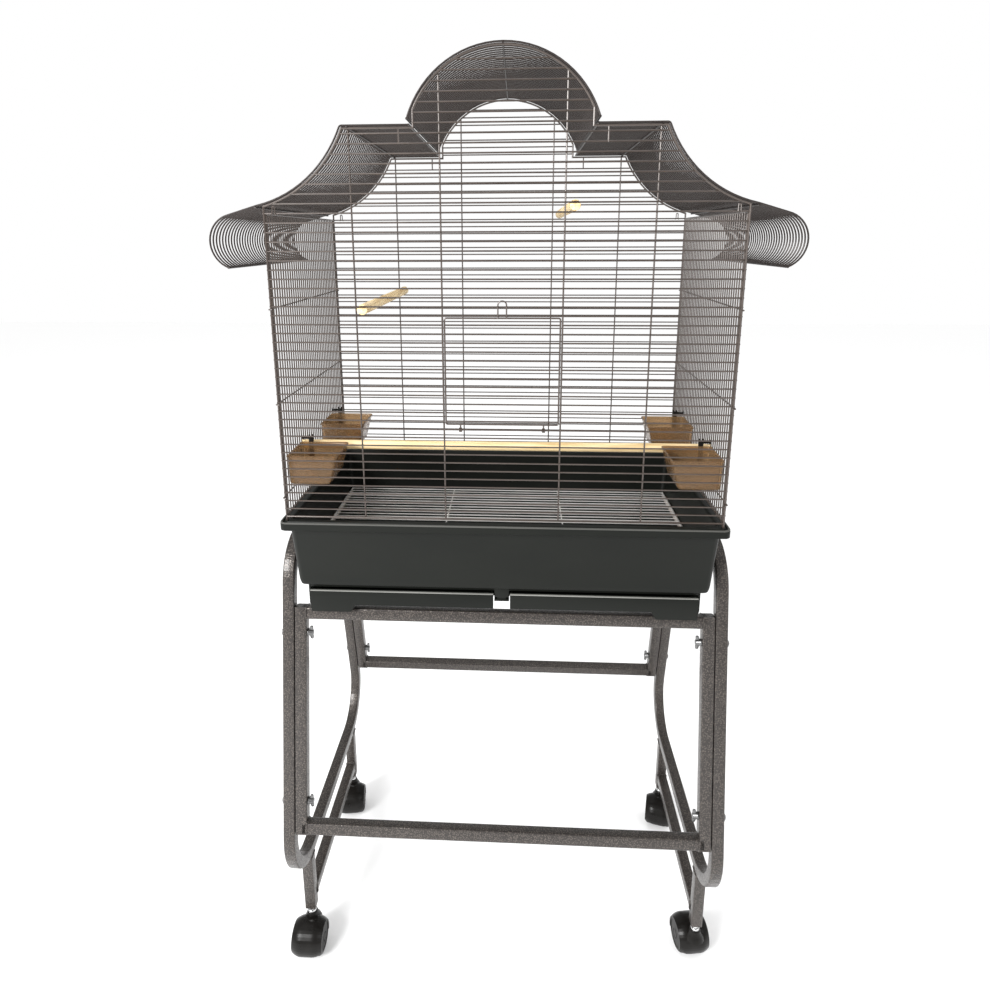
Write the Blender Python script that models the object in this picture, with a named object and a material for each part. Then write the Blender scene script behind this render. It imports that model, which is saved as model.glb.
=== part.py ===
# Bird cage with a domed roof, curled eaves, a litter tray with two drawers and a wheeled tube stand.
#
# Sizes are in millimetres, and a mesh is scaled to metres when its object is made. X runs along
# the front, the front faces -Y, +Z is up, and the floor is at Z = 0. Heights are stacked from the
# wheels up to the dome, and widths and depths follow the wire body.

from math import asin, atan, atan2, ceil, cos, pi, radians, sin, tan, tau

import bmesh
import bpy
from mathutils import Matrix, Vector

# Fits
clear = 0.4              # gap between parts that meet
turning = 0.25           # running gap round a pin
sink = 1.0               # how far shapes that are fused run into each other

# Wire body
bodyHalfWidth = 327.0
bodyHalfDepth = 177.8
pitch = 12.7             # spacing of the level wires, front and back
levels = 35              # spaces between the eave wire and the bottom wire
sideSpaces = 35          # spaces between the upright side wires, and between the roof wires
footWire = 6.8           # bottom wire above the tray's rim
crossDrops = (131.0, 269.5, 414.5)   # cross wires of the side panels, below the eave
innerUpright = 84.1      # uprights either side of the door, from the middle
outerUpright = 205.8
cornerSet = 4.6          # corner wires of the side panels, in from the front and back

# Wire stock
wireRound = 1.4          # centre to corner of a three-sided wire
edgeWide = 3.0           # edge wires, measured in the panel
edgeDeep = 4.2           # edge wires, measured through it
edgeSet = 0.3            # middle of an edge wire behind the level wires
borderSide = 2.6         # first and last roof wires, and corner wires
stayHalf = 1.1           # half the side of a stay or an upright
crossHalf = 0.95         # half the side of a cross wire
rodHalf = 1.9            # half the side of the rods at the ends of the roof wires

# Roof
domeRadius = 134.0
domeFoot = radians(18.5)
domeGap = 7.5            # foot of the dome above the flat of the wings
flatHeight = 112.0       # flat of the wings above the eave
flatLap = 3.1            # inner end of the wings inside the dome's foot
sweepRadius = 168.3
sweepOut = 45.3          # middle of the sweep outside the side panel
sweepRise = 175.0        # and above the eave
sweepEnd = radians(258)
rollRadius = 37.7
rollOut = 41.4
rollDrop = 38.0
rollStart = radians(76)
rollEnd = radians(-68)
creaseStayIn = 9.0       # stay inside the crease
eaveStayOut = 11.0       # stay outside the side panel
stepIn = 8.6             # step of the front panel inside the dome's foot
stubOut = 9.6            # short upright outside the dome's foot

# Door, hinged on the level wire below it
doorTopLevel = 11
doorBottomLevel = 24
doorSideGap = 3.1
doorTopGap = 2.9
doorFootGap = 8.3
doorSide = 2.4           # side of the door's frame wire
catchHeight = 24.8
catchHalf = 6.0
catchTail = 10.0
catchSet = 3.4           # catch in front of the door
ringHalf = 0.8           # half the thickness of a hinge ring
ringLength = 5.0
hingePlace = 60.0

# Tray
rimLap = 10.0            # rim outside the wire body
rimHeight = 13.3
rimCorner = 12.0
wallInset = 1.4          # top of the wall inside the wire body
wallHeight = 97.4
draft = 7.0
trayWall = 3.0
trayCorner = 9.0
trayEdge = 3.0           # rounding along the underside
grateRise = 31.0         # grate above the underside
grateGap = 3.0
grateEdge = 1.6          # half the side of the grate's end wires
grateSpaces = 26
ledgeWide = 9.0
ledgeThick = 2.8

# Drawers and the housing that carries them
footHeight = 12.2
footWidth = 61.6
footEase = 7.5           # slope of a foot's inner side
drawerHeight = 26.4
drawerRecess = 10.0      # top of the drawers below the tray's underside
drawerInset = 16.0       # outer ends of the drawers inside the tray's underside
drawerSplit = 13.0       # inner ends from the middle
drawerWall = 2.2
faceInset = 3.4          # faces of the drawers inside the tray's underside
faceThick = 4.0
lipReach = 2.6           # lip in front of the face
lipThick = 2.2
backInset = 19.4
skirtThick = 3.4
skirtGap = 0.8
stemHalf = 7.0           # half width of the rail between the drawers
flangeHalf = 11.6
flangeThick = 3.4
railRise = 11.4          # underside of the rail above the drawers' underside
runnerThick = 2.3

# Stand
tube = 19.0
lean = 0.20              # legs outward per millimetre down
postHeight = 121.0       # underside of a post to the middle of the loop's lower side
postInset = 24.8         # posts inside the wire body's front and back
footRailRise = 26.5
loopHeight = 575.0
loopGap = 9.3            # between a loop and the tray's wall
topBend = 70.0
bottomBend = 80.0
frameRise = 121.0        # lower rails above the loop's lower side
frameDrop = 104.8        # upper rails below the loop's upper side
frameGap = 1.0           # between a frame and a loop
railInset = 28.6         # upper rails inside the wire body's front and back
boltRise = 42.0
boltDrop = 33.2
boltRadius = 3.0
boltHole = 3.6
headRadius = 6.6
headHeight = 4.0
nutRadius = 6.2
nutHeight = 9.2
wingHalf = 11.5
wingThick = 2.6

# Casters
wheelRadius = 28.0
wheelWidth = 23.2
wheelGap = 5.2           # middle of a caster to the inner faces of its wheels
treadEdge = 2.5
hoodGap = 1.0
hoodWall = 2.4
hoodDrop = 12.0          # lower edge of the hood below the axle
webGap = 0.6
axleRadius = 4.0
trail = 20.0             # axle behind the swivel
stemRise = 48.0          # underside of a post above the axle
bossRise = 14.0
bossRadius = 9.0
collarHeight = 12.6
collarRadius = 7.0
pinRadius = 4.6
pinReach = 20.0
turns = {"front_left": 0.0, "front_right": 188.0, "back_left": 8.0, "back_right": -14.0}

# Perches and cups
perchRadius = 7.5
perchSag = 3.8           # middle of a perch below the level wire in its notches
perchPast = 3.5          # ends of a perch outside the wires
notchHalf = 1.9
notchDeep = 3.3          # bottom of a notch inside the wires
longPerchDrop = 361.0    # below the eave
leftPerchLevel = 10
rightPerchLevel = -1
leftPerchGap = 0.8       # beside the outer upright
rightPerchPast = 12.9    # beyond the inner upright
cupWidth = 78.0
cupLength = 76.0
cupHeight = 46.0
cupDrop = 352.0          # below the eave
cupWall = 2.1
cupRim = 1.5
cupRimThick = 2.6
cupSlopeRun = 12.0
cupSlopeRise = 18.0
cupFrontGap = 9.8
cupBackGap = 80.7        # behind the long perch
clipThick = 2.2
clipWidth = 8.0
clipRise = 9.0
clipDrop = 26.0
clipArm = 4.0
knobHalf = 1.4
knobHeight = 3.0

# Heights that follow, from the floor up
postBottom = wheelRadius + stemRise
footRail = postBottom + footRailRise
loopBottom = postBottom + postHeight
loopTop = loopBottom + loopHeight
frameBottom = loopBottom + frameRise
frameTop = loopTop - frameDrop
boltHeights = (frameBottom + boltRise, frameTop - boltDrop)
leanAngle = atan(lean)
footBottom = frameTop + tube / 2 * (cos(leanAngle) + sin(leanAngle)) + clear
footTop = footBottom + footHeight
drawerBottom = footTop + clear
drawerTop = drawerBottom + drawerHeight
railBottom = drawerBottom + railRise
trayBottom = drawerTop + drawerRecess
rimBottom = trayBottom + wallHeight
rimTop = rimBottom + rimHeight
grateHeight = trayBottom + grateRise
eave = rimTop + footWire + pitch * levels
cupTop = eave - cupDrop

# Places that follow, from the wire body out and in
sidePitch = 2 * bodyHalfDepth / sideSpaces
rimHalf = (bodyHalfWidth + rimLap, bodyHalfDepth + rimLap)
wallTopHalf = (bodyHalfWidth - wallInset, bodyHalfDepth - wallInset)
wallBottomHalf = (wallTopHalf[0] - draft, wallTopHalf[1] - draft)
drawerOuter = wallBottomHalf[0] - drawerInset
drawerFront = faceInset - wallBottomHalf[1]
drawerBack = wallBottomHalf[1] - backInset
footOuter = drawerOuter - sink
footInner = footOuter - footWidth
loopX = wallTopHalf[0] + loopGap + tube / 2
frameX = loopX - tube - frameGap
railY = bodyHalfDepth - railInset
postY = bodyHalfDepth - postInset
hoodRadius = wheelRadius + hoodGap + hoodWall
hoodHalf = wheelGap + wheelWidth + webGap
cupOuter = bodyHalfWidth - wireRound / 2 - clear
cupFront = cupFrontGap - bodyHalfDepth
longPerchWire = ceil((cupFrontGap + cupLength + clipThick + perchRadius + 2 * clear) / sidePitch)
longPerchY = longPerchWire * sidePitch - bodyHalfDepth
cupRows = {"front": cupFront + cupLength / 2, "back": longPerchY + perchRadius + cupBackGap + cupLength / 2}

# Roof curves that follow
stayDrop = wireRound / 2 + clear + stayHalf
roofInset = stayDrop + stayHalf + clear + edgeWide / 2
domeFootX = domeRadius * cos(domeFoot)
domeCentre = flatHeight + domeGap - domeRadius * sin(domeFoot)
sweepCentre = (bodyHalfWidth + sweepOut, sweepRise)
sweepStart = pi + asin((sweepRise - flatHeight) / sweepRadius)
rollCentre = (bodyHalfWidth + rollOut, -rollDrop)
creaseX = sweepCentre[0] + sweepRadius * cos(sweepStart)
panelStep = domeFootX - stepIn
stubX = domeFootX + stubOut
gableLevels = int((domeCentre + domeRadius - roofInset - edgeWide) / pitch)
stubLevel = int((flatHeight - roofInset) / pitch) - 1

colours = {
    "wire": (0.030, 0.026, 0.022, 1, 0.55, 0.42),
    "tray": (0.030, 0.034, 0.031, 1, 0.0, 0.45),
    "steel": (0.115, 0.100, 0.090, 1, 0.65, 0.50),
    "wood": (0.720, 0.500, 0.280, 1, 0.0, 0.60),
    "smoke": (0.160, 0.100, 0.045, 1, 0.0, 0.20),
    "black": (0.010, 0.010, 0.010, 1, 0.0, 0.40),
    "zinc": (0.250, 0.250, 0.250, 1, 1.0, 0.35),
}

# Planes that a path or an outline is drawn in, named for the axis that they face. The columns turn
# drawn x, drawn y and height over the plane into world axes.
planes = {
    "x": Matrix(((0, 0, 1), (1, 0, 0), (0, 1, 0))).to_4x4(),
    "y": Matrix(((1, 0, 0), (0, 0, -1), (0, 1, 0))).to_4x4(),
    "z": Matrix.Identity(4),
}


# Scene and materials
def clearScene():
    for obj in list(bpy.data.objects):
        bpy.data.objects.remove(obj, do_unlink=True)
    for mesh in list(bpy.data.meshes):
        bpy.data.meshes.remove(mesh)


def material(name, key):
    red, green, blue, alpha, metallic, rough = colours[key]
    made = bpy.data.materials.new(name)
    made.use_nodes = True
    shader = made.node_tree.nodes["Principled BSDF"]
    shader.inputs["Base Color"].default_value = (red, green, blue, alpha)
    shader.inputs["Metallic"].default_value = metallic
    shader.inputs["Roughness"].default_value = rough
    made.diffuse_color = (red, green, blue, alpha)
    return made


# Meshes from curves and primitives
def linked(data):
    obj = bpy.data.objects.new("helper", data)
    bpy.context.scene.collection.objects.link(obj)
    return obj


def evaluated(obj):
    bpy.context.view_layer.update()
    return bpy.data.meshes.new_from_object(obj.evaluated_get(bpy.context.evaluated_depsgraph_get()))


def cleaned(mesh, matrix):
    bm = bmesh.new()
    bm.from_mesh(mesh)
    bmesh.ops.remove_doubles(bm, verts=bm.verts, dist=0.001)
    bmesh.ops.transform(bm, matrix=matrix, verts=bm.verts)
    bmesh.ops.recalc_face_normals(bm, faces=bm.faces)
    bm.to_mesh(mesh)
    bm.free()
    return mesh


def polyCurve(dimensions, runs, closed):
    data = bpy.data.curves.new("helper", "CURVE")
    data.dimensions = dimensions
    for run in runs:
        spline = data.splines.new("POLY")
        spline.points.add(len(run) - 1)
        for spot, point in zip(spline.points, run):
            spot.co = (*point, 1)
        spline.use_cyclic_u = closed
    return data


def wire(section, facing, height, *paths, closed=False):
    """Carries a section along flat paths, with its x to the right of the path and its y up from the plane."""
    outline = linked(polyCurve("2D", [[(x, y, 0) for x, y in section]], True))
    outline.data.fill_mode = "NONE"
    heights = height if isinstance(height, list) else [height] * len(paths)
    flip = -1 if facing == "y" else 1
    runs = [[(u, v, flip * w) for u, v in path] for path, w in zip(paths, heights)]
    data = polyCurve("3D", runs, closed)
    data.twist_mode = "Z_UP"
    data.bevel_mode = "OBJECT"
    data.bevel_object = outline
    data.use_fill_caps = not closed
    obj = linked(data)
    mesh = evaluated(obj)
    bpy.data.objects.remove(obj)
    bpy.data.objects.remove(outline)
    return cleaned(mesh, planes[facing])


def plate(outline, facing, start, end):
    """A flat outline extruded from start to end along the axis that it faces."""
    data = polyCurve("2D", [[(u, v, 0) for u, v in outline]], True)
    data.fill_mode = "BOTH"
    data.extrude = abs(end - start) / 2
    obj = linked(data)
    mesh = evaluated(obj)
    bpy.data.objects.remove(obj)
    middle = (start + end) / 2
    flip = -1 if facing == "y" else 1
    return cleaned(mesh, planes[facing] @ Matrix.Translation((0, 0, flip * middle)))


def block(x, y, z, bevel=0.0, segments=1):
    bm = bmesh.new()
    bmesh.ops.create_cube(bm, size=1)
    bmesh.ops.scale(bm, vec=(abs(x[1] - x[0]), abs(y[1] - y[0]), abs(z[1] - z[0])), verts=bm.verts)
    bmesh.ops.translate(bm, vec=(sum(x) / 2, sum(y) / 2, sum(z) / 2), verts=bm.verts)
    if bevel:
        bmesh.ops.bevel(bm, geom=bm.edges[:], offset=bevel, segments=segments, profile=0.5, affect="EDGES")
    return meshOf(bm)


def drum(centre, radius, facing, start, end, sides, phase=0.5, edge=0.0):
    """A cylinder facing an axis. Phase turns it by a share of one side, and edge bevels its far end."""
    bm = bmesh.new()
    depth = abs(end - start)
    bmesh.ops.create_cone(bm, cap_ends=True, segments=sides, radius1=radius, radius2=radius, depth=depth)
    bmesh.ops.rotate(bm, matrix=Matrix.Rotation(phase * tau / sides - pi / 2, 3, "Z"), verts=bm.verts)
    if edge:
        rim = [e for e in bm.edges if all(v.co.z > 0 for v in e.verts)]
        bmesh.ops.bevel(bm, geom=rim, offset=edge, segments=1, profile=0.5, affect="EDGES")
    if end < start:
        bmesh.ops.scale(bm, vec=(1, 1, -1), verts=bm.verts)
    flip = -1 if facing == "y" else 1
    bmesh.ops.scale(bm, vec=(1, 1, flip), verts=bm.verts)
    bmesh.ops.translate(bm, vec=(centre[0], centre[1], flip * (start + end) / 2), verts=bm.verts)
    bmesh.ops.transform(bm, matrix=planes[facing], verts=bm.verts)
    return meshOf(bm)


def tub(lowHalf, highHalf, low, high, corner, edge=0.0):
    """A tapered block with rounded corners, and a rounded lower edge if edge is given."""
    bm = bmesh.new()
    bmesh.ops.create_cube(bm, size=2)
    for (halfX, halfY), z, verts in ((lowHalf, low, [v for v in bm.verts if v.co.z < 0]),
                                     (highHalf, high, [v for v in bm.verts if v.co.z > 0])):
        bmesh.ops.scale(bm, vec=(halfX, halfY, 0), verts=verts)
        bmesh.ops.translate(bm, vec=(0, 0, z), verts=verts)
    upright = [e for e in bm.edges if abs(e.verts[0].co.z - e.verts[1].co.z) > (high - low) / 2]
    bmesh.ops.bevel(bm, geom=upright, offset=corner, segments=3, profile=0.5, affect="EDGES")
    if edge:
        under = [e for e in bm.edges if all(v.co.z < low + edge for v in e.verts)]
        bmesh.ops.bevel(bm, geom=under, offset=edge, segments=1, profile=0.5, affect="EDGES")
    return meshOf(bm)


def meshOf(bm):
    bmesh.ops.recalc_face_normals(bm, faces=bm.faces)
    mesh = bpy.data.meshes.new("helper")
    bm.to_mesh(mesh)
    bm.free()
    return mesh


def square(side, other=None):
    a, b = side / 2, (other or side) / 2
    return [(-a, -b), (a, -b), (a, b), (-a, b)]


def triangle(radius, corner):
    """A three-sided section with one corner at this angle."""
    return [(radius * cos(corner + tau * i / 3), radius * sin(corner + tau * i / 3)) for i in range(3)]


def moved(mesh, matrix):
    mesh.transform(matrix)
    return mesh


def combine(first, others, operation):
    """Joins or cuts meshes with one exact Boolean and returns the new mesh."""
    host = linked(first)
    group = bpy.data.collections.new("group")
    bpy.context.scene.collection.children.link(group)
    helpers = [bpy.data.objects.new("helper", mesh) for mesh in others]
    for helper in helpers:
        group.objects.link(helper)
    modifier = host.modifiers.new("combine", "BOOLEAN")
    modifier.operation = operation
    modifier.solver = "EXACT"
    modifier.operand_type = "COLLECTION"
    modifier.collection = group
    made = evaluated(host)
    for helper in helpers + [host]:
        bpy.data.objects.remove(helper)
    bpy.data.collections.remove(group)
    return made


def fused(meshes):
    return combine(meshes[0], meshes[1:], "UNION") if meshes[1:] else meshes[0]


def part(name, key, meshes, cuts=(), origin=(0, 0, 0)):
    """Fuses the meshes, cuts the others away, and adds the result as one named object."""
    mesh = fused(meshes)
    if cuts:
        mesh = combine(mesh, cuts, "DIFFERENCE")
    bm = bmesh.new()
    bm.from_mesh(mesh)
    bmesh.ops.remove_doubles(bm, verts=bm.verts, dist=0.002)
    bmesh.ops.dissolve_limit(bm, angle_limit=radians(0.05), verts=bm.verts, edges=bm.edges)
    bmesh.ops.translate(bm, verts=bm.verts, vec=-Vector(origin))
    bmesh.ops.scale(bm, verts=bm.verts, vec=(0.001, 0.001, 0.001))
    bmesh.ops.triangulate(bm, faces=[face for face in bm.faces if len(face.verts) > 4])
    final = bpy.data.meshes.new(name)
    bm.to_mesh(final)
    bm.free()
    final.shade_smooth()
    final.set_sharp_from_angle(angle=radians(40))
    final.materials.append(material(name, key))
    obj = bpy.data.objects.new(name, final)
    obj.location = Vector(origin) * 0.001
    parts.objects.link(obj)


# Paths
def arc(centre, radius, start, end, pieces):
    return [(centre[0] + radius * cos(start + (end - start) * i / pieces),
             centre[1] + radius * sin(start + (end - start) * i / pieces)) for i in range(pieces + 1)]


def rounded(corners, radii, pieces, closed=False):
    """A path through the corners with each one rounded. An open path keeps its two ends."""
    path = []
    count = len(corners)
    for i, corner in enumerate(corners):
        spot = Vector(corner)
        if not closed and i in (0, count - 1):
            path.append(tuple(spot))
            continue
        into = (spot - Vector(corners[i - 1])).normalized()
        out = (Vector(corners[(i + 1) % count]) - spot).normalized()
        turn = into.angle(out)
        middle = spot + (out - into).normalized() * (radii[i] / cos(turn / 2))
        start = spot - into * radii[i] * tan(turn / 2) - middle
        finish = spot + out * radii[i] * tan(turn / 2) - middle
        for j in range(pieces + 1):
            before, after = sin((1 - j / pieces) * turn), sin(j / pieces * turn)
            path.append(tuple(middle + (start * before + finish * after) / sin(turn)))
    return path


def offset(path, amount):
    """The path moved to its right by this amount, with its corners mitred."""
    shifted = []
    for i, point in enumerate(path):
        here = Vector(point)
        into = (here - Vector(path[i - 1])).normalized() if i else None
        out = (Vector(path[i + 1]) - here).normalized() if i < len(path) - 1 else into
        into = into or out
        across = (into + out).normalized()
        across = Vector((across.y, -across.x))
        shifted.append(tuple(here + across * (amount / across.dot(Vector((into.y, -into.x))))))
    return shifted


def clipX(path, low, high):
    """The stretch of a path that runs to the right between two x, with its ends worked out."""
    kept = []
    for (x0, z0), (x1, z1) in zip(path, path[1:]):
        for limit in (low, high):
            if (x0 - limit) * (x1 - limit) < 0:
                kept.append((limit, z0 + (z1 - z0) * (limit - x0) / (x1 - x0)))
        if low < x1 < high:
            kept.append((x1, z1))
    if low < path[0][0] < high:
        kept.insert(0, path[0])
    return kept


def heightAt(path, x):
    for (x0, z0), (x1, z1) in zip(path, path[1:]):
        if x0 <= x <= x1 and x0 != x1:
            return z0 + (z1 - z0) * (x - x0) / (x1 - x0)
    return path[-1][1]


def mirrored(path):
    return [(-x, z) for x, z in path]


def raised(path):
    return [(x, eave + z) for x, z in path]


def level(k):
    return eave - pitch * k


# Roof curves, as distance from the middle and height above the eave
def wingProfile():
    return [(domeFootX - flatLap, flatHeight)] + arc(sweepCentre, sweepRadius, sweepStart, sweepEnd, 3)


def rollProfile():
    return arc(rollCentre, rollRadius, rollStart, rollEnd, 4)


def domeProfile():
    return arc((0.0, domeCentre), domeRadius, pi - domeFoot, domeFoot, 6)


def panelOutline():
    """Edge of the front and back panels, from the bottom left corner over to the bottom right one."""
    wing = clipX(offset(wingProfile(), roofInset), panelStep, bodyHalfWidth)
    wing = [(panelStep, wing[0][1])] + [point for point in wing if point[0] > panelStep + sink]
    dome = clipX(offset(domeProfile(), roofInset), -panelStep, panelStep)
    bottom = -pitch * levels
    left = mirrored(reversed(wing))
    return [(-bodyHalfWidth, bottom)] + left + dome + wing + [(bodyHalfWidth, bottom)]


def spanAt(outline, height):
    """The two x where the outline crosses this height."""
    found = []
    for (x0, z0), (x1, z1) in zip(outline, outline[1:] + outline[:1]):
        if (z0 - height) * (z1 - height) < 0:
            found.append(x0 + (x1 - x0) * (height - z0) / (z1 - z0))
    return min(found), max(found)


# Wire body
def flatPanel(name, y, inward, door):
    """Front or back panel: level wires, an edge wire round them, and four uprights just inside."""
    outline = panelOutline()
    edgeY = y + inward * edgeSet
    uprightY = y + inward * (wireRound / 2 + clear + stayHalf)
    spans = []
    heights = []
    for k in range(-gableLevels, levels):
        left, right = spanAt(outline, -pitch * k)
        gap = door and doorTopLevel < k < doorBottomLevel
        for start, end in ([(left, -innerUpright), (innerUpright, right)] if gap else [(left, right)]):
            spans.append([(start, level(k)), (end, level(k))])
            heights.append(y)
    uprights = [[(x, level(levels)), (x, eave + heightAt(outline, x))]
                for x in (-outerUpright, -innerUpright, innerUpright, outerUpright)]
    stubs = [[(x, level(-stubLevel)), (x, eave + heightAt(outline, x))] for x in (-stubX, stubX)]
    feet = [[(x, rimTop + clear), (x, level(levels))] for x in (-bodyHalfWidth, bodyHalfWidth)]
    meshes = [
        wire(square(edgeWide, edgeDeep), "y", edgeY, raised(outline), closed=True),
        wire(triangle(wireRound, inward * pi / 2), "y", heights, *spans),
        wire(square(2 * stayHalf), "y", uprightY, *uprights),
        wire(square(2 * stayHalf, borderSide), "y", edgeY, *stubs),
        wire(square(borderSide, edgeDeep - sink), "y", edgeY, *feet),
    ]
    if door:
        jambs = [[(x, level(doorBottomLevel)), (x, level(doorTopLevel))]
                 for x in (-innerUpright, innerUpright)]
        meshes.append(wire(square(borderSide, edgeDeep), "y", edgeY, *jambs))
    part(name, "wire", meshes)


def sidePanel(name, out):
    """Side panel: upright wires, two rails, corner wires, and cross wires hooked round the corners."""
    x = out * bodyHalfWidth
    half = bodyHalfDepth - cornerSet
    crossX = x + out * (wireRound + clear + crossHalf)
    reach = bodyHalfDepth + edgeDeep
    thickness = sorted((x - out * (edgeWide / 2 + edgeSet), x + out * (edgeWide / 2 + 3 * edgeSet)))
    ys = [sidePitch * i - bodyHalfDepth for i in range(1, sideSpaces)]
    uprights = [[(y, level(levels)), (y, eave)] for y in ys if abs(y) < half - borderSide]
    hook = [(x - out * crossHalf, -reach), (crossX, -reach), (crossX, reach), (x - out * crossHalf, reach)]
    path = rounded(hook, [2 * crossHalf] * 4, 1)
    edge = edgeWide / 2
    meshes = [block((x - edge, x + edge), (-half, half), (z - edge, z + edge))
              for z in (level(levels), eave - edgeSet)]
    meshes += [block(thickness, (y - borderSide / 2, y + borderSide / 2), (rimTop + clear, eave + edge))
               for y in (-half, half)]
    meshes += [wire(triangle(wireRound, out * pi / 2), "x", x, *uprights)]
    meshes += [wire(square(2 * crossHalf), "z", eave - drop, path) for drop in crossDrops]
    part(name, "wire", meshes)


def makePanels():
    flatPanel("front_panel", -bodyHalfDepth, 1, True)
    flatPanel("back_panel", bodyHalfDepth, -1, False)
    sidePanel("left_side_panel", -1)
    sidePanel("right_side_panel", 1)


def makeDoor():
    """Drop-down door: a framed grille with a finger catch above and two rings round a level wire below."""
    y = -bodyHalfDepth
    half = innerUpright - doorSideGap
    high = level(doorTopLevel) - doorTopGap
    axis = level(doorBottomLevel)
    low = axis + doorFootGap
    catchY = y - catchSet
    rungs = [[(-half, level(k)), (half, level(k))] for k in range(doorTopLevel + 1, doorBottomLevel)
             if low + doorSide < level(k) < high - doorSide]
    frame = rounded([(-half, low), (-half, high), (half, high), (half, low)], [doorSide] * 4, 1, True)
    catchLow, catchTop = high - catchTail, high + catchHeight
    catch = rounded([(-catchHalf, catchLow), (-catchHalf, catchTop), (catchHalf, catchTop),
                     (catchHalf, catchLow)], [catchHalf - clear] * 4, 2)
    ringRadius = ringHalf + (wireRound + clear) / cos(pi / 8)
    ring = [(y + ringRadius * cos(tau * i / 8), axis + ringRadius * sin(tau * i / 8)) for i in range(8)]
    meshes = [
        wire(square(doorSide), "y", y, frame, closed=True),
        wire(triangle(wireRound, pi / 2), "y", y, *rungs),
        wire(square(2 * crossHalf, 2 * stayHalf), "y", catchY, catch),
    ]
    for x in (-catchHalf, catchHalf):
        meshes.append(block((x - ringHalf, x + ringHalf), (catchY, y), (high - ringHalf, high + ringHalf)))
    for x in (-hingePlace, hingePlace):
        meshes.append(wire(square(2 * ringHalf, ringLength), "x", x, ring, closed=True))
        meshes.append(block((x - ringLength / 3, x + ringLength / 3), (y - ringHalf, y + ringHalf),
                            (axis + ringRadius, low)))
    part("front_door", "wire", meshes, origin=(0, y, axis))


def rod(centre, slope, half, reach):
    """A square rod along Y, turned so that its faces lie along and across a wire of this slope."""
    bar = block((-half, half), (-reach, reach), (-half, half))
    place = Matrix.Translation((centre[0], 0, eave + centre[1]))
    return moved(bar, place @ Matrix.Rotation(-slope, 4, "Y"))


def slopeOf(start, end):
    return atan2(end[1] - start[1], end[0] - start[0])


def roofSection(name, profile, stays):
    """Wires bent to one profile, heavier first and last ones, rods on their ends, and stays under them."""
    path = raised(profile)
    inner = [sidePitch * i - bodyHalfDepth for i in range(1, sideSpaces)]
    upward = pi if profile[0][0] < profile[-1][0] else 0.0
    meshes = [rod(end, slopeOf(end, following), rodHalf, bodyHalfDepth + rodHalf)
              for end, following in ((profile[0], profile[1]), (profile[-1], profile[-2]))]
    meshes.append(wire(square(borderSide), "y", [-bodyHalfDepth, bodyHalfDepth], path, path))
    meshes.append(wire(triangle(wireRound, upward), "y", inner, *[path] * len(inner)))
    for (x, z), slope in stays:
        under = (x + stayDrop * sin(slope), z - stayDrop * cos(slope))
        meshes.append(rod(under, slope, stayHalf, bodyHalfDepth + stayHalf))
    part(name, "wire", meshes)


def makeRoof():
    sweep = wingProfile()
    wing = sweep + rollProfile()
    start, end = wing[len(sweep) - 1], wing[len(sweep)]
    slope = slopeOf(start, end)
    run = bodyHalfWidth + eaveStayOut - start[0]
    eaveStay = (start[0] + run, start[1] + run * tan(slope))
    creaseStay = (creaseX - creaseStayIn, flatHeight)
    roofSection("roof_right_wing", wing, [(creaseStay, 0.0), (eaveStay, slope)])
    creaseStay, eaveStay = mirrored([creaseStay, eaveStay])
    roofSection("roof_left_wing", mirrored(wing), [(creaseStay, 0.0), (eaveStay, -slope)])
    dome = domeProfile()
    roofSection("roof_dome", dome, [((0.0, max(z for x, z in dome)), 0.0)])


# Tray and drawers
def wallAt(z):
    """Outer half width and half depth of the tray's wall at a height."""
    grown = draft * (z - trayBottom) / wallHeight
    return wallBottomHalf[0] + grown, wallBottomHalf[1] + grown


def insideAt(z):
    return tuple(half - trayWall for half in wallAt(z))


def pair(sign, near, far):
    return tuple(sorted((sign * near, sign * far)))


def makeTray():
    top = rimTop + sink
    floor = trayBottom + trayWall
    under = trayBottom + sink
    walls = tub(wallBottomHalf, wallTopHalf, trayBottom, rimBottom + sink, trayCorner, trayEdge)
    rim = tub(rimHalf, rimHalf, rimBottom, rimTop, rimCorner)
    inside = tub(insideAt(floor), insideAt(top), floor, top, trayCorner - trayWall)
    shell = combine(combine(walls, [rim], "UNION"), [inside], "DIFFERENCE")
    ledgeTop = grateHeight - grateEdge - clear
    ledgeOuter = insideAt(ledgeTop)[0] + sink
    skirtX = drawerOuter + skirtGap
    skirtY = drawerBack + 2 * flangeThick
    footFront = drawerFront + faceThick + clear
    railFront = drawerFront + skirtGap
    runnerTop = railBottom + flangeThick + runnerThick + 2 * clear
    meshes = [shell]
    for sign in (-1, 1):
        foot = [(footInner, footBottom), (footOuter, footBottom), (skirtX + skirtThick, footTop),
                (footInner - footEase, footTop)]
        meshes += [
            block(pair(sign, ledgeOuter - ledgeWide, ledgeOuter), (-postY, postY),
                  (ledgeTop - ledgeThick, ledgeTop)),
            block(pair(sign, skirtX, skirtX + skirtThick), (footFront + sink, skirtY + skirtThick),
                  (footTop - sink, under)),
            plate([(sign * x, z) for x, z in foot], "y", footFront, skirtY + skirtThick),
        ]
    meshes += [
        block((-skirtX - sink, skirtX + sink), (skirtY, skirtY + skirtThick), (footTop - sink, under)),
        block((-skirtX - sink, skirtX + sink), (footFront, footFront + trayWall),
              (drawerTop + 3 * clear, under)),
        block((-stemHalf, stemHalf), (railFront, skirtY + sink), (railBottom + clear, under)),
        block((-flangeHalf, flangeHalf), (railFront, drawerBack), (railBottom, railBottom + flangeThick)),
        block((-flangeHalf, flangeHalf), (railFront, footFront + trayWall), (runnerTop, under)),
    ]
    part("tray", "tray", meshes)


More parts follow.
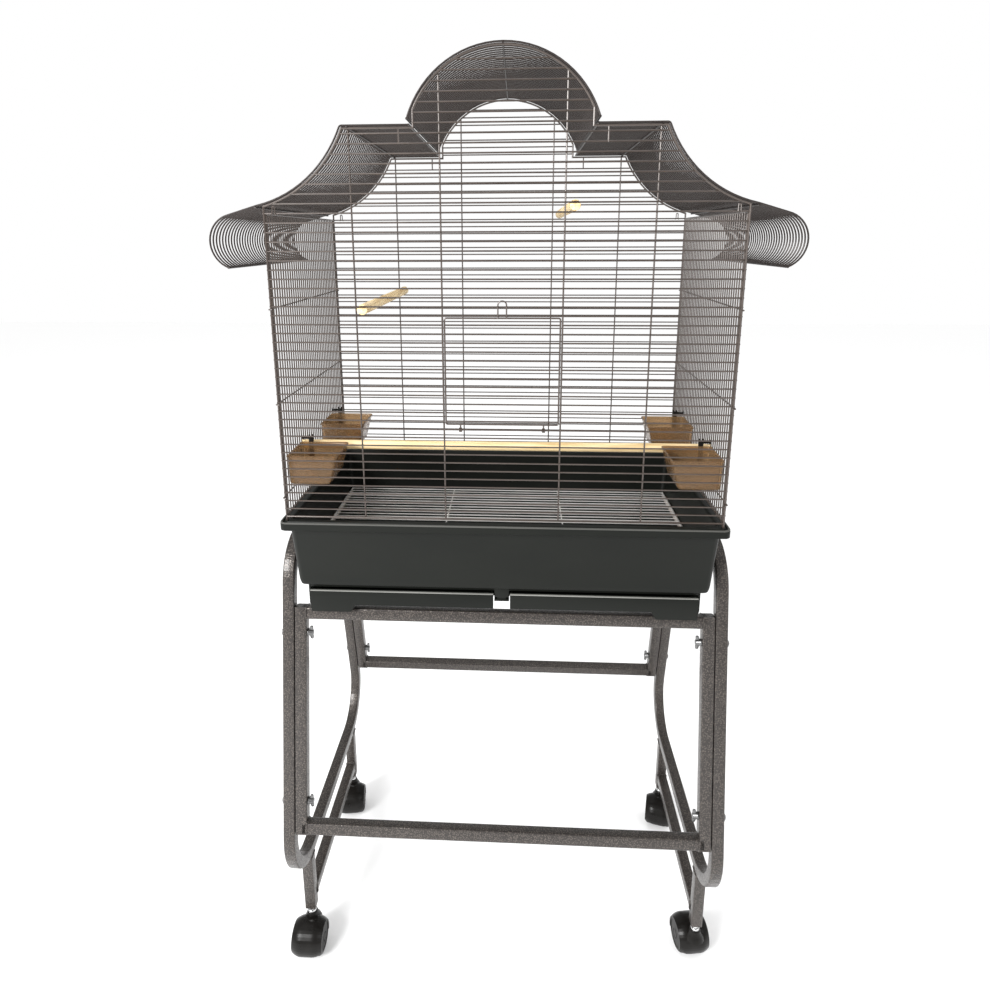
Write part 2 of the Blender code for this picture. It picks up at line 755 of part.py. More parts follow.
def makeDrawers():
    faceBottom = footBottom + clear
    runnerLow = railBottom + flangeThick + clear
    for name, sign in (("left_drawer", -1), ("right_drawer", 1)):
        face = [(drawerSplit, drawerBottom), (footInner - footEase - sink, drawerBottom),
                (footInner - sink, faceBottom), (drawerOuter - lipThick, faceBottom),
                (drawerOuter, faceBottom + lipThick), (drawerOuter, drawerTop), (drawerSplit, drawerTop)]
        inner, outer = drawerSplit + sink, drawerOuter - sink
        back = drawerBack - clear
        near, far = drawerFront - faceThick / 2, drawerFront + faceThick / 2
        meshes = [
            block(pair(sign, inner, outer), (drawerFront, back), (drawerBottom, drawerTop - sink)),
            plate([(sign * x, z) for x, z in face], "y", near, far),
            block(pair(sign, drawerSplit, drawerOuter - sink), (near - lipReach, drawerFront),
                  (drawerTop - lipThick, drawerTop)),
            block(pair(sign, stemHalf + skirtGap, inner + sink), (drawerFront + 2 * faceThick + lipReach, back),
                  (runnerLow, runnerLow + runnerThick)),
        ]
        well = block(pair(sign, inner + drawerWall, outer - drawerWall),
                     (drawerFront + faceThick, back - drawerWall), (drawerBottom + drawerWall, drawerTop + sink))
        middle = (sign * (drawerSplit + drawerOuter) / 2, drawerFront, drawerTop)
        part(name, "tray", meshes, [well], origin=middle)


def makeGrate():
    """Floor grate: bars along the front, end wires across them, and two stays below."""
    halfX, halfY = (half - grateEdge - grateGap for half in insideAt(grateHeight))
    barPitch = 2 * halfY / grateSpaces
    bars = [[(-halfX, barPitch * i - halfY), (halfX, barPitch * i - halfY)] for i in range(grateSpaces + 1)]
    ends = [[(x, -halfY - grateEdge), (x, halfY + grateEdge)] for x in (-halfX, halfX)]
    stays = [[(x, -halfY - stayHalf), (x, halfY + stayHalf)] for x in (-halfX / 3, halfX / 3)]
    part("floor_grate", "wire", [
        wire(square(2 * grateEdge), "z", grateHeight, *ends),
        wire(square(borderSide), "z", grateHeight, bars[0], bars[-1]),
        wire(triangle(wireRound, pi / 2), "z", grateHeight, *bars[1:-1]),
        wire(square(2 * stayHalf), "z", grateHeight - wireRound / 2 - clear / 2 - stayHalf, *stays),
    ])


# Stand
def legY(z):
    return railY + lean * (frameTop - z)


def makeSideFrames(holes):
    """Side frames: a bent loop of square tube on two posts with a rail between them."""
    corners = [(-legY(loopTop), loopTop), (legY(loopTop), loopTop), (legY(loopBottom), loopBottom),
               (-legY(loopBottom), loopBottom)]
    loop = rounded(corners, (topBend, topBend, bottomBend, bottomBend), 5, True)
    socketRadius = (pinRadius + turning) / cos(pi / 8)
    half = tube / 2
    for name, x in (("left_side_frame", -loopX), ("right_side_frame", loopX)):
        width = (x - half, x + half)
        posts = [block(width, (y - half, y + half), (postBottom, loopBottom)) for y in (-postY, postY)]
        rail = block(width, (-postY, postY), (footRail - half, footRail + half))
        sockets = [drum((x, y), socketRadius, "z", postBottom - sink, postBottom + pinReach + half, 8)
                   for y in (-postY, postY)]
        bent = wire(square(tube), "x", x, loop, closed=True)
        part(name, "steel", [bent, rail] + posts, holes() + sockets)


def makeEndFrames(holes):
    """Front and back frames: two uprights and two rails of square tube, leaning with the legs."""
    half = tube / 2
    middle = (frameTop + frameBottom) / 2
    reach = (frameTop - frameBottom) / 2 / cos(leanAngle)
    for name, sign in (("front_frame", -1), ("back_frame", 1)):
        uprights = [block((x - half, x + half), (-half, half), (-reach - half, reach + half))
                    for x in (-frameX, frameX)]
        rails = [block((-frameX, frameX), (-half, half), (z - half, z + half)) for z in (-reach, reach)]
        place = Matrix.Translation((0, sign * legY(middle), middle))
        place = place @ Matrix.Rotation(sign * leanAngle, 4, "X")
        part(name, "steel", [moved(fused(uprights + rails), place)], holes())


def makeBolts():
    seat, inner = loopX + tube / 2 + clear, frameX - tube / 2 - clear
    nutEnd = inner - nutHeight
    for row, sign in (("front", -1), ("back", 1)):
        for side, out in (("left", -1), ("right", 1)):
            for grade, z in zip(("lower", "upper"), boltHeights):
                y = sign * legY(z)
                wing = block(pair(out, nutEnd, nutEnd + nutHeight / 2), (y - wingThick / 2, y + wingThick / 2),
                             (z - wingHalf, z + wingHalf))
                part(f"bolt_{row}_{side}_{grade}", "zinc", [
                    drum((y, z), boltRadius, "x", out * (nutEnd + sink), out * (seat + headHeight / 2), 6),
                    drum((y, z), headRadius, "x", out * seat, out * (seat + headHeight), 8),
                    drum((y, z), nutRadius, "x", out * inner, out * nutEnd, 6),
                    wing,
                ])


def makeStand():
    def holes():
        return [drum((sign * legY(z), z), boltHole, "x", -2 * loopX, 2 * loopX, 6)
                for z in boltHeights for sign in (-1, 1)]

    makeSideFrames(holes)
    makeEndFrames(holes)
    makeBolts()


# Casters
def makeCaster(key, spot, turn):
    """A hooded swivel caster on a pin, and its pair of wheels on one shaft, drawn round the swivel axis."""
    axle = (-trail, wheelRadius)
    place = Matrix.Translation(spot) @ Matrix.Rotation(radians(turn), 4, "Z")
    collarTop = postBottom - clear
    bodyMeshes = [
        drum(axle, hoodRadius / cos(pi / 16), "x", -hoodHalf, hoodHalf, 16),
        drum((0, 0), bossRadius, "z", wheelRadius + bossRise, collarTop - collarHeight + sink, 8),
        drum((0, 0), collarRadius, "z", collarTop - collarHeight, collarTop, 8),
        drum((0, 0), pinRadius, "z", collarTop - collarHeight / 2, postBottom + pinReach, 8),
    ]
    spaceRadius = (wheelRadius + hoodGap) / cos(pi / 16)
    web = wheelGap - webGap
    below = block((-2 * hoodHalf, 2 * hoodHalf), (axle[0] - 2 * hoodRadius, axle[0] + 2 * hoodRadius),
                  (-hoodRadius, wheelRadius - hoodDrop))
    cuts = [
        drum(axle, spaceRadius, "x", web, 2 * hoodHalf, 16),
        drum(axle, spaceRadius, "x", -web, -2 * hoodHalf, 16),
        drum(axle, (axleRadius + turning) / cos(pi / 8), "x", -wheelGap, wheelGap, 8),
        below,
    ]
    tread = wheelRadius / cos(pi / 14)
    wheelMeshes = [
        drum(axle, tread, "x", wheelGap, wheelGap + wheelWidth, 14, 0.0, treadEdge),
        drum(axle, tread, "x", -wheelGap, -wheelGap - wheelWidth, 14, 0.0, treadEdge),
        drum(axle, axleRadius, "x", -wheelGap - sink, wheelGap + sink, 8),
    ]
    for mesh in bodyMeshes + cuts + wheelMeshes:
        mesh.transform(place)
    part(f"caster_{key}", "black", bodyMeshes, cuts, origin=spot + Vector((0, 0, postBottom)))
    part(f"wheels_{key}", "black", wheelMeshes, origin=place @ Vector((0, *axle)))


def makeCasters():
    for key, turn in turns.items():
        row, side = key.split("_")
        spot = Vector((loopX if side == "right" else -loopX, postY if row == "back" else -postY, 0))
        makeCaster(key, spot, turn)


# Perches and cups
def makePerches():
    """Dowels with a notch in each end that takes a wire of the panel."""
    reach, notch = bodyHalfWidth + perchPast, bodyHalfWidth - notchDeep
    z = eave - longPerchDrop
    dowel = drum((longPerchY, z), perchRadius, "x", -reach, reach, 14)
    cuts = [block(pair(sign, notch, reach + sink), (longPerchY - notchHalf, longPerchY + notchHalf),
                  (z - 2 * perchRadius, z + 2 * perchRadius)) for sign in (-1, 1)]
    part("long_perch", "wood", [dowel], cuts)
    reach, notch = bodyHalfDepth + perchPast, bodyHalfDepth - notchDeep
    leftX = perchRadius + leftPerchGap + stayHalf - outerUpright
    rightX = innerUpright + rightPerchPast
    for name, x, k in (("left_perch", leftX, leftPerchLevel), ("right_perch", rightX, rightPerchLevel)):
        dowel = drum((x, level(k) - perchSag), perchRadius, "y", -reach, reach, 14)
        cuts = [block((x - 2 * perchRadius, x + 2 * perchRadius), pair(sign, notch, reach + sink),
                      (level(k) - notchHalf, level(k) + notchHalf)) for sign in (-1, 1)]
        part(name, "wood", [dowel], cuts)


def cupOutline(inset, top, floor):
    """Side view of a cup as distance from the middle of the cage and height, with one sloped lower edge."""
    outer, inner = cupOuter - cupRim - inset, cupOuter - cupWidth + cupRim + inset
    return [(outer, top), (outer, floor + 2 * cupRim), (outer - 2 * cupRim, floor),
            (inner + cupSlopeRun, floor), (inner, floor + cupSlopeRise), (inner, top)]


def makeCups():
    floor = cupTop - cupHeight
    for row, middle in cupRows.items():
        for side, out in (("left", -1), ("right", 1)):
            near, far = middle - cupLength / 2, middle + cupLength / 2
            shell = [(out * x, z) for x, z in cupOutline(0, cupTop - sink, floor)]
            hollow = [(out * x, z) for x, z in cupOutline(cupWall, cupTop + sink, floor + cupWall)]
            inset = cupRim + cupWall
            part(f"cup_{row}_{side}", "smoke", [
                plate(shell, "y", near + cupRim, far - cupRim),
                block(pair(out, cupOuter, cupOuter - cupWidth), (near, far), (cupTop - cupRimThick, cupTop)),
            ], [plate(hollow, "y", near + inset, far - inset)])
            strapX = cupOuter - 2.5 * clipWidth
            clipY = (far + clear, far + clear + clipThick)
            knobY = (clipY[0] - clipThick / 2, clipY[1] + clipThick / 2)
            clipTop = cupTop + clipRise
            knobs = [block(pair(out, x - knobHalf, x + knobHalf), knobY, (clipTop - sink, clipTop + knobHeight))
                     for x in (strapX + knobHalf, strapX + clipWidth - knobHalf)]
            part(f"cup_clip_{row}_{side}", "black", [
                block(pair(out, strapX, strapX + clipWidth), clipY, (cupTop - clipDrop, clipTop)),
                block(pair(out, strapX + clipWidth - sink, cupOuter), clipY,
                      (cupTop + clipArm, cupTop + 2 * clipArm)),
            ] + knobs)


clearScene()
parts = bpy.data.collections.new("bird_cage")
bpy.context.scene.collection.children.link(parts)
makePanels()
makeDoor()
makeRoof()
makeTray()
makeDrawers()
makeGrate()
makeStand()
makeCasters()
makePerches()
makeCups()
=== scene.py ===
from math import asin, atan, cos, pi, radians, sin, tan, tau

import bmesh
import bpy
from mathutils import Matrix, Vector


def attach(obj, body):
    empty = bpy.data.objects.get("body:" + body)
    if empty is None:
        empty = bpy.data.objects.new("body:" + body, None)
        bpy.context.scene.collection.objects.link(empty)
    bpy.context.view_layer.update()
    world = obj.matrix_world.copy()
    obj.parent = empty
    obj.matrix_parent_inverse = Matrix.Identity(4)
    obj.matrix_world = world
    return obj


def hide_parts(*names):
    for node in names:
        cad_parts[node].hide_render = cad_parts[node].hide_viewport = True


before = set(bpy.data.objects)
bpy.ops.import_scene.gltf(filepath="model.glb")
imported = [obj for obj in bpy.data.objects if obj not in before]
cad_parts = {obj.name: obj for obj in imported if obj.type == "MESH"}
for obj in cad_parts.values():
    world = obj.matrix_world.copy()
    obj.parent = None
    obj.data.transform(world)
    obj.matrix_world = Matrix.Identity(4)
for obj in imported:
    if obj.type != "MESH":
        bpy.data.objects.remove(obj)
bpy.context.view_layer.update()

scene = bpy.context.scene
root = "cage_and_stand"
print("frame loaded,", len(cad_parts), "nodes")


# Shader maths: a socket's value that + and * work on, and a material made of them
class Value:
    def __init__(self, finish, socket):
        self.finish = finish
        self.socket = socket

    def maths(self, operation, first, second):
        return self.finish.node("ShaderNodeMath", {"operation": operation}, {0: first, 1: second})

    def __add__(self, other):
        return self.maths("ADD", self, other)

    def __mul__(self, other):
        return self.maths("MULTIPLY", self, other)

    def __radd__(self, other):
        return self.maths("ADD", other, self)

    def __rmul__(self, other):
        return self.maths("MULTIPLY", other, self)


class Finish:
    def __init__(self, name, **settings):
        self.material = bpy.data.materials.new(name)
        self.material.use_nodes = True
        self.nodes = self.material.node_tree.nodes
        self.links = self.material.node_tree.links
        self.shader = self.nodes["Principled BSDF"]
        self.put(self.shader, {key.replace("_", " "): value for key, value in settings.items()})

    def put(self, node, sockets):
        for key, value in sockets.items():
            if isinstance(value, Value):
                self.links.new(value.socket, node.inputs[key])
            else:
                node.inputs[key].default_value = value

    def node(self, kind, settings, sockets, out=0):
        made = self.nodes.new(kind)
        for key, value in settings.items():
            if key == "stops":
                while len(made.color_ramp.elements) < len(value):
                    made.color_ramp.elements.new(0.5)
                for stop, (place, colour) in zip(made.color_ramp.elements, value):
                    stop.position = place
                    stop.color = colour
            else:
                setattr(made, key, value)
        self.put(made, sockets)
        return Value(self, made.outputs[out])

    def place(self, stretch):
        spot = self.node("ShaderNodeTexCoord", {}, {}, "Object")
        return self.node("ShaderNodeMapping", {}, {"Vector": spot, "Scale": stretch})

    def noise(self, scale, detail=2.0, stretch=(1, 1, 1)):
        return self.node("ShaderNodeTexNoise", {},
                         {"Vector": self.place(stretch), "Scale": scale, "Detail": detail})

    def cells(self, scale):
        return self.node("ShaderNodeTexVoronoi", {"feature": "SMOOTH_F1"},
                         {"Vector": self.place((1, 1, 1)), "Scale": scale, "Smoothness": 0.5})

    def ramp(self, value, stops):
        return self.node("ShaderNodeValToRGB", {"stops": stops}, {"Fac": value})

    def mix(self, factor, first, second):
        return self.node("ShaderNodeMix", {"data_type": "RGBA"}, {0: factor, 6: first, 7: second}, 2)

    def bump(self, height, distance, strength=1.0):
        self.put(self.shader, {"Normal": self.node("ShaderNodeBump", {}, {
            "Height": height, "Distance": distance, "Strength": strength})})

    def done(self, colour, rough):
        self.put(self.shader, {"Base Color": colour, "Roughness": rough})
        return self.material


def grey(value):
    return (value, value, value, 1)


def wireFinish(name, dark, light, coat):
    finish = Finish(name, Metallic=0.4, Coat_Weight=coat, Coat_Roughness=0.3)
    patches = finish.noise(34, 3)
    fine = finish.noise(700, 2)
    colour = finish.mix(0.7 * patches + 0.3 * fine, dark, light)
    finish.bump(fine, 0.0002, 0.4)
    return finish.done(colour, 0.30 + 0.22 * patches)


def hammerFinish():
    finish = Finish("hammered tube coat", Metallic=0.5, Coat_Weight=0.3, Coat_Roughness=0.18)
    cells = finish.cells(460)
    clouds = finish.noise(45, 3)
    veins = finish.ramp(cells, [(0.12, grey(0.0)), (0.50, grey(1.0))])
    raised = finish.mix(clouds, (0.104, 0.088, 0.076, 1), (0.165, 0.140, 0.122, 1))
    colour = finish.mix(veins, raised, (0.036, 0.031, 0.028, 1))
    finish.bump(cells, 0.0007, 0.6)
    return finish.done(colour, 0.28 + 0.20 * cells)


def trayFinish(name, dark, light, shine):
    finish = Finish(name, Specular_IOR_Level=shine)
    scuffs = finish.noise(7, 4, (1, 1, 3))
    colour = finish.mix(scuffs, dark, light)
    finish.bump(finish.noise(1300, 2), 0.00012, 0.35)
    return finish.done(colour, 0.30 + 0.20 * scuffs)


def woodFinish(name, stretch):
    finish = Finish(name)
    grain = finish.noise(4, 4, stretch)
    fibres = finish.noise(16, 3, stretch)
    colour = finish.ramp(grain, [(0.28, (0.52, 0.35, 0.16, 1)), (0.48, (0.76, 0.57, 0.30, 1)),
                                 (0.70, (0.86, 0.70, 0.43, 1))])
    finish.bump(fibres, 0.0004, 0.3)
    return finish.done(colour, 0.50 + 0.2 * fibres)


def smokeFinish():
    finish = Finish("smoked cup plastic", Transmission_Weight=0.75, IOR=1.3)
    haze = finish.noise(26, 2)
    colour = finish.mix(haze, (0.32, 0.20, 0.10, 1), (0.45, 0.29, 0.155, 1))
    finish.bump(finish.noise(40, 1), 0.0001, 0.03)
    return finish.done(colour, 0.20 + 0.06 * haze)


def blackFinish(name, low, high):
    finish = Finish(name, Specular_IOR_Level=0.2)
    haze = finish.noise(60, 3)
    colour = finish.mix(haze, (0.004, 0.0035, 0.003, 1), (0.011, 0.010, 0.009, 1))
    finish.bump(finish.noise(1500, 1), 0.0001, 0.3)
    return finish.done(colour, low + (high - low) * haze)


def zincFinish(name, dark, light, rough):
    finish = Finish(name, Metallic=0.95)
    haze = finish.noise(240, 3)
    finish.bump(haze, 0.0001, 0.2)
    return finish.done(finish.mix(haze, grey(dark), grey(light)), rough + 0.2 * haze)


finishes = {
    "wire": wireFinish("dark bronze wire coat", (0.026, 0.018, 0.014, 1), (0.085, 0.062, 0.050, 1), 0.9),
    # The roof's wires are the same wire painted darker: painted shade for their undersides, seen from below.
    "roof": wireFinish("roof wire painted shade coat", (0.010, 0.007, 0.006, 1), (0.038, 0.028, 0.024, 1), 0.15),
    # The grate's wires are painted much lighter than the other wires: a painted highlight.
    "grate": wireFinish("grate wire painted highlight coat", (0.50, 0.49, 0.47, 1), (0.76, 0.74, 0.71, 1), 0.9),
    "steel": hammerFinish(),
    "tray": trayFinish("dark moulded tray plastic", (0.005, 0.006, 0.005, 1), (0.010, 0.011, 0.009, 1), 0.14),
    # The drawer lip's light colour is a painted highlight along the top edge of each drawer's face.
    "lip": trayFinish("drawer lip painted highlight", (0.14, 0.14, 0.13, 1), (0.26, 0.26, 0.24, 1), 0.5),
    # The rim bead's lighter colour is a painted highlight along the tray rim's top edge.
    "bead": trayFinish("rim bead painted highlight", (0.04, 0.04, 0.036, 1), (0.09, 0.09, 0.082, 1), 0.3),
    # The ledges' pale colour is a painted highlight on their lit tops.
    "ledge": trayFinish("ledge plastic painted highlight", (0.42, 0.37, 0.33, 1), (0.60, 0.54, 0.49, 1), 0.4),
    "woodX": woodFinish("pine along x", (3, 60, 60)),
    "woodY": woodFinish("pine along y", (60, 3, 60)),
    "smoke": smokeFinish(),
    "clip": blackFinish("black clip plastic", 0.22, 0.38),
    "caster": blackFinish("black caster nylon", 0.22, 0.36),
    "wheel": blackFinish("black tread nylon", 0.30, 0.50),
    "chrome": zincFinish("chromed ring", 0.62, 0.80, 0.06),
    "zinc": zincFinish("dull zinc", 0.12, 0.24, 0.24),
}
print("finishes made")


# Placing pieces. Sizes are in millimetres until a piece becomes an object.
def finishMesh(bm, name, body, finish, replaced=(), smooth=40):
    bmesh.ops.scale(bm, vec=(0.001, 0.001, 0.001), verts=bm.verts)
    bmesh.ops.recalc_face_normals(bm, faces=bm.faces)
    mesh = bpy.data.meshes.new(name)
    bm.to_mesh(mesh)
    bm.free()
    mesh.shade_smooth()
    mesh.set_sharp_from_angle(angle=radians(smooth))
    piece = bpy.data.objects.new(name, mesh)
    scene.collection.objects.link(piece)
    mesh.materials.append(finishes[finish])
    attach(piece, body)
    if replaced:
        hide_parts(*replaced)
    return piece


def kept(bm):
    mesh = bpy.data.meshes.new("form")
    bm.to_mesh(mesh)
    bm.free()
    return mesh


def addTo(bm, mesh, matrix=None):
    if matrix is not None:
        mesh = mesh.copy()
        mesh.transform(matrix)
    bm.from_mesh(mesh)


def shifted(x, y, z):
    return Matrix.Translation((x, y, z))


# Turns a form made along z to face an axis.
def turnedTo(axis):
    return Vector((0, 0, 1)).rotation_difference(Vector(axis)).to_matrix().to_4x4()


def only(items, kind):
    return [item for item in items if isinstance(item, kind)]


# Shape helpers
def roundSection(radius, sides):
    def make(bm):
        bmesh.ops.create_circle(bm, cap_ends=True, radius=radius, segments=sides)
    return make


def squareSection(side, corner):
    def make(bm):
        bmesh.ops.create_grid(bm, x_segments=1, y_segments=1, size=side / 2)
        bmesh.ops.bevel(bm, geom=bm.verts[:], offset=corner, segments=3, profile=0.5,
                        affect="VERTICES", material=-1)
    return make


# The ways into and out of a path's point.
def waysAt(path, i, closed=False):
    into = (path[i] - path[i - 1]).normalized() if closed or i else None
    out = (path[(i + 1) % len(path)] - path[i]).normalized() if closed or i < len(path) - 1 else into
    return into or out, out


def stationsAlong(path, normal, closed):
    stations = []
    for i, point in enumerate(path):
        into, out = waysAt(path, i, closed)
        along = (into + out).normalized()
        across = normal.cross(along).normalized() / max(0.35, along.dot(into))   # 0.35 caps the mitre
        stations.append(Matrix((
            (across.x, normal.x, along.x, point.x),
            (across.y, normal.y, along.y, point.y),
            (across.z, normal.z, along.z, point.z),
            (0, 0, 0, 1))))
    return stations + stations[:1] if closed else stations


# A section's face extruded along a flat path, mitred at each point.
def carried(section, path, normal, closed=False):
    stations = stationsAlong([Vector(point) for point in path], Vector(normal).normalized(), closed)
    bm = bmesh.new()
    section(bm)
    first = face = bm.faces[:][0]
    bmesh.ops.transform(bm, matrix=stations[0], verts=bm.verts)
    for before, after in zip(stations, stations[1:]):
        grown = bmesh.ops.extrude_face_region(bm, geom=[face], use_keep_orig=face is first)["geom"]
        face = only(grown, bmesh.types.BMFace)[0]
        bmesh.ops.transform(bm, matrix=after @ before.inverted(), verts=only(grown, bmesh.types.BMVert))
    if closed:
        bmesh.ops.delete(bm, geom=[first, face], context="FACES_ONLY")
        bmesh.ops.remove_doubles(bm, verts=bm.verts, dist=0.001)
    return kept(bm)


def straight(bm, start, end, radius, sides=6):
    start, end = Vector(start), Vector(end)
    normal = Vector((0, 0, 1)) if abs((end - start).normalized().z) < 0.9 else Vector((0, 1, 0))
    addTo(bm, carried(roundSection(radius, sides), [start, end], normal))


def upright(bm, x, y, low, high, radius, sides=6):
    straight(bm, (x, y, low), (x, y, high), radius, sides)


# A profile of radius and height spun about z.
def lathed(profile, sides):
    bm = bmesh.new()
    spots = [bm.verts.new((radius, 0, height)) for radius, height in profile]
    for near, far in zip(spots, spots[1:]):
        bm.edges.new((near, far))
    bmesh.ops.spin(bm, geom=bm.verts[:] + bm.edges[:], cent=(0, 0, 0), axis=(0, 0, 1), angle=tau,
                   steps=sides, use_merge=True)
    bmesh.ops.remove_doubles(bm, verts=bm.verts, dist=0.001)
    return kept(bm)


def soften(bm, edges, width):
    bmesh.ops.bevel(bm, geom=edges, offset=width, segments=2, profile=0.5, affect="EDGES", material=-1)


# A flat outline filled, extruded along z and softened at its sharp edges.
def slab(outline, low, high, edge):
    bm = bmesh.new()
    spots = [bm.verts.new((x, y, low)) for x, y in outline]
    edges = [bm.edges.new((spot, spots[i - 1])) for i, spot in enumerate(spots)]
    face = bmesh.ops.edgenet_fill(bm, edges=edges)["faces"]
    grown = bmesh.ops.extrude_face_region(bm, geom=face, use_keep_orig=True)["geom"]
    bmesh.ops.translate(bm, vec=(0, 0, high - low), verts=only(grown, bmesh.types.BMVert))
    bm.normal_update()
    soften(bm, [line for line in bm.edges if abs(line.calc_face_angle(0)) > radians(30)], edge)
    return kept(bm)


def box(bm, x, y, z):
    made = bmesh.ops.create_cube(bm, size=1)["verts"]
    bmesh.ops.scale(bm, vec=(abs(x[1] - x[0]), abs(y[1] - y[0]), abs(z[1] - z[0])), verts=made)
    bmesh.ops.translate(bm, vec=(sum(x) / 2, sum(y) / 2, sum(z) / 2), verts=made)
    return made


def boxMesh(x, y, z):
    bm = bmesh.new()
    box(bm, x, y, z)
    return kept(bm)


def roundedBox(bm, x, y, z, edge):
    made = box(bm, x, y, z)
    soften(bm, list({line for vert in made for line in vert.link_edges}), edge)


# An outline taken in by so much at each height, as half x, half y and height.
def takenIn(half, steps):
    return [(half[0] - inset, half[1] - inset, height) for inset, height in steps]


# A rounded rectangle whose edge is extruded through half x, half y and height in turn.
def ringStack(sections, corner, segments):
    bm = bmesh.new()
    bmesh.ops.create_grid(bm, x_segments=1, y_segments=1, size=1)
    halfX, halfY, z = sections[0]
    bmesh.ops.scale(bm, vec=(halfX, halfY, 1), verts=bm.verts)
    bmesh.ops.translate(bm, vec=(0, 0, z), verts=bm.verts)
    bmesh.ops.bevel(bm, geom=bm.verts[:], offset=corner, segments=segments, profile=0.5,
                    affect="VERTICES", material=-1)
    edges = bm.edges[:]
    for before, after in zip(sections, sections[1:]):
        growX, growY = after[0] - before[0], after[1] - before[1]
        grown = bmesh.ops.extrude_edge_only(bm, edges=edges)["geom"]
        edges = only(grown, bmesh.types.BMEdge)
        for vert in only(grown, bmesh.types.BMVert):
            vert.co.x += growX if vert.co.x > 0 else -growX
            vert.co.y += growY if vert.co.y > 0 else -growY
            vert.co.z = after[2]
    bmesh.ops.holes_fill(bm, edges=edges, sides=0)
    return bm


# The mesh less the cutters, by exact Booleans.
def cutAway(mesh, cutters):
    host = bpy.data.objects.new("host", mesh)
    scene.collection.objects.link(host)
    helpers = []
    for cutter in cutters:
        helper = bpy.data.objects.new("helper", cutter)
        scene.collection.objects.link(helper)
        helpers.append(helper)
        modifier = host.modifiers.new("cut", "BOOLEAN")
        modifier.operation = "DIFFERENCE"
        modifier.solver = "EXACT"
        modifier.object = helper
    bpy.context.view_layer.update()
    made = bpy.data.meshes.new_from_object(host.evaluated_get(bpy.context.evaluated_depsgraph_get()))
    for item in helpers + [host]:
        bpy.data.objects.remove(item)
    return made


# Paths
def arcPoints(centre, radius, start, end, pieces):
    return [(centre[0] + radius * cos(start + (end - start) * i / pieces),
             centre[1] + radius * sin(start + (end - start) * i / pieces)) for i in range(pieces + 1)]


def rounded(points, radii, pieces=4, closed=False):
    path = []
    count = len(points)
    for i, point in enumerate(points):
        spot = Vector(point)
        if not closed and i in (0, count - 1) or radii[i] == 0:
            path.append(tuple(spot))
            continue
        into = (spot - Vector(points[i - 1])).normalized()
        out = (Vector(points[(i + 1) % count]) - spot).normalized()
        turn = into.angle(out)
        run = radii[i] * tan(turn / 2)
        middle = spot + (out - into).normalized() * (radii[i] / cos(turn / 2))
        first, last = spot - into * run - middle, spot + out * run - middle
        for j in range(pieces + 1):
            share = j / pieces
            sweep = first * sin((1 - share) * turn) + last * sin(share * turn)
            path.append(tuple(middle + sweep / sin(turn)))
    return path


# The path moved to its right, with its corners mitred.
def offset(path, amount):
    path = [Vector(point) for point in path]
    moved = []
    for i, point in enumerate(path):
        into, out = waysAt(path, i)
        along = (into + out).normalized()
        across = Vector((along.y, -along.x))
        moved.append(tuple(point + across * (amount / across.dot(Vector((into.y, -into.x))))))
    return moved


# The stretch of a path between two places along x.
def clipX(path, low, high):
    clipped = [path[0]] if low < path[0][0] < high else []
    for (x0, z0), (x1, z1) in zip(path, path[1:]):
        for limit in (low, high):
            if (x0 - limit) * (x1 - limit) < 0:
                clipped.append((limit, z0 + (z1 - z0) * (limit - x0) / (x1 - x0)))
        if low < x1 < high:
            clipped.append((x1, z1))
    return clipped


# Wire body
cage = {
    "eave": 1289.8,        # height of the side panels' tops
    "halfWidth": 327.0,
    "halfDepth": 177.8,
    "pitch": 12.7,         # between the level wires
    "levels": 35,          # spaces from the eave down to the bottom wire
    "sidePitch": 10.16,    # between the wires of the side panels and of the roof
    "sideSpaces": 35,
    "wire": 1.14,          # radius of the thin wires
    "edge": 1.5,           # radius of the wires that they are welded to
    "post": 1.3,           # radius of the roof's end wires and the side panels' posts
    "stay": 1.2,           # radius of the wires that cross the thin ones
    "foot": 6.6,           # corner wires below the bottom wire
}

# Heights of the roof are above the eave, and places are from the middle.
roof = {
    "domeCentre": 77.0,
    "domeRadius": 133.6,
    "domeFoot": 18.6,
    "domeSteps": 30,
    "flatInner": 124.2,
    "flatHeight": 112.0,
    "crease": 4.0,
    "creaseStay": 207.0,
    "eaveStay": 338.0,
    "sweepCentre": (372.3, 175.0),
    "sweepRadius": 168.3,
    "sweepEnd": 258.0,
    "sweepSteps": 14,
    "rollCentre": (368.4, -38.0),
    "rollRadius": 37.5,
    "rollStart": 76.0,
    "rollEnd": -68.0,
    "rollSteps": 18,
    "rodPast": 1.6,        # end rods past the last wires
    "stayPast": 2.4,       # stays past the last wires
    "sink": 0.3,           # how deep the stays are welded in
}


def level(k):
    return cage["eave"] - cage["pitch"] * k


def wingPath():
    start = pi + asin((roof["sweepCentre"][1] - roof["flatHeight"]) / roof["sweepRadius"])
    sweep = arcPoints(roof["sweepCentre"], roof["sweepRadius"], start, radians(roof["sweepEnd"]),
                      roof["sweepSteps"])
    corner = rounded([(roof["flatInner"], roof["flatHeight"]), sweep[0], sweep[1]], [0, roof["crease"], 0], 3)
    roll = arcPoints(roof["rollCentre"], roof["rollRadius"], radians(roof["rollStart"]),
                     radians(roof["rollEnd"]), roof["rollSteps"])
    return corner[:-1] + sweep[1:] + roll


def domePath():
    foot = radians(roof["domeFoot"])
    return arcPoints((0, roof["domeCentre"]), roof["domeRadius"], pi - foot, foot, roof["domeSteps"])


def mirrorX(path):
    return [(-x, z) for x, z in path]


def inFront(path, y):
    return [(x, y, cage["eave"] + z) for x, z in path]


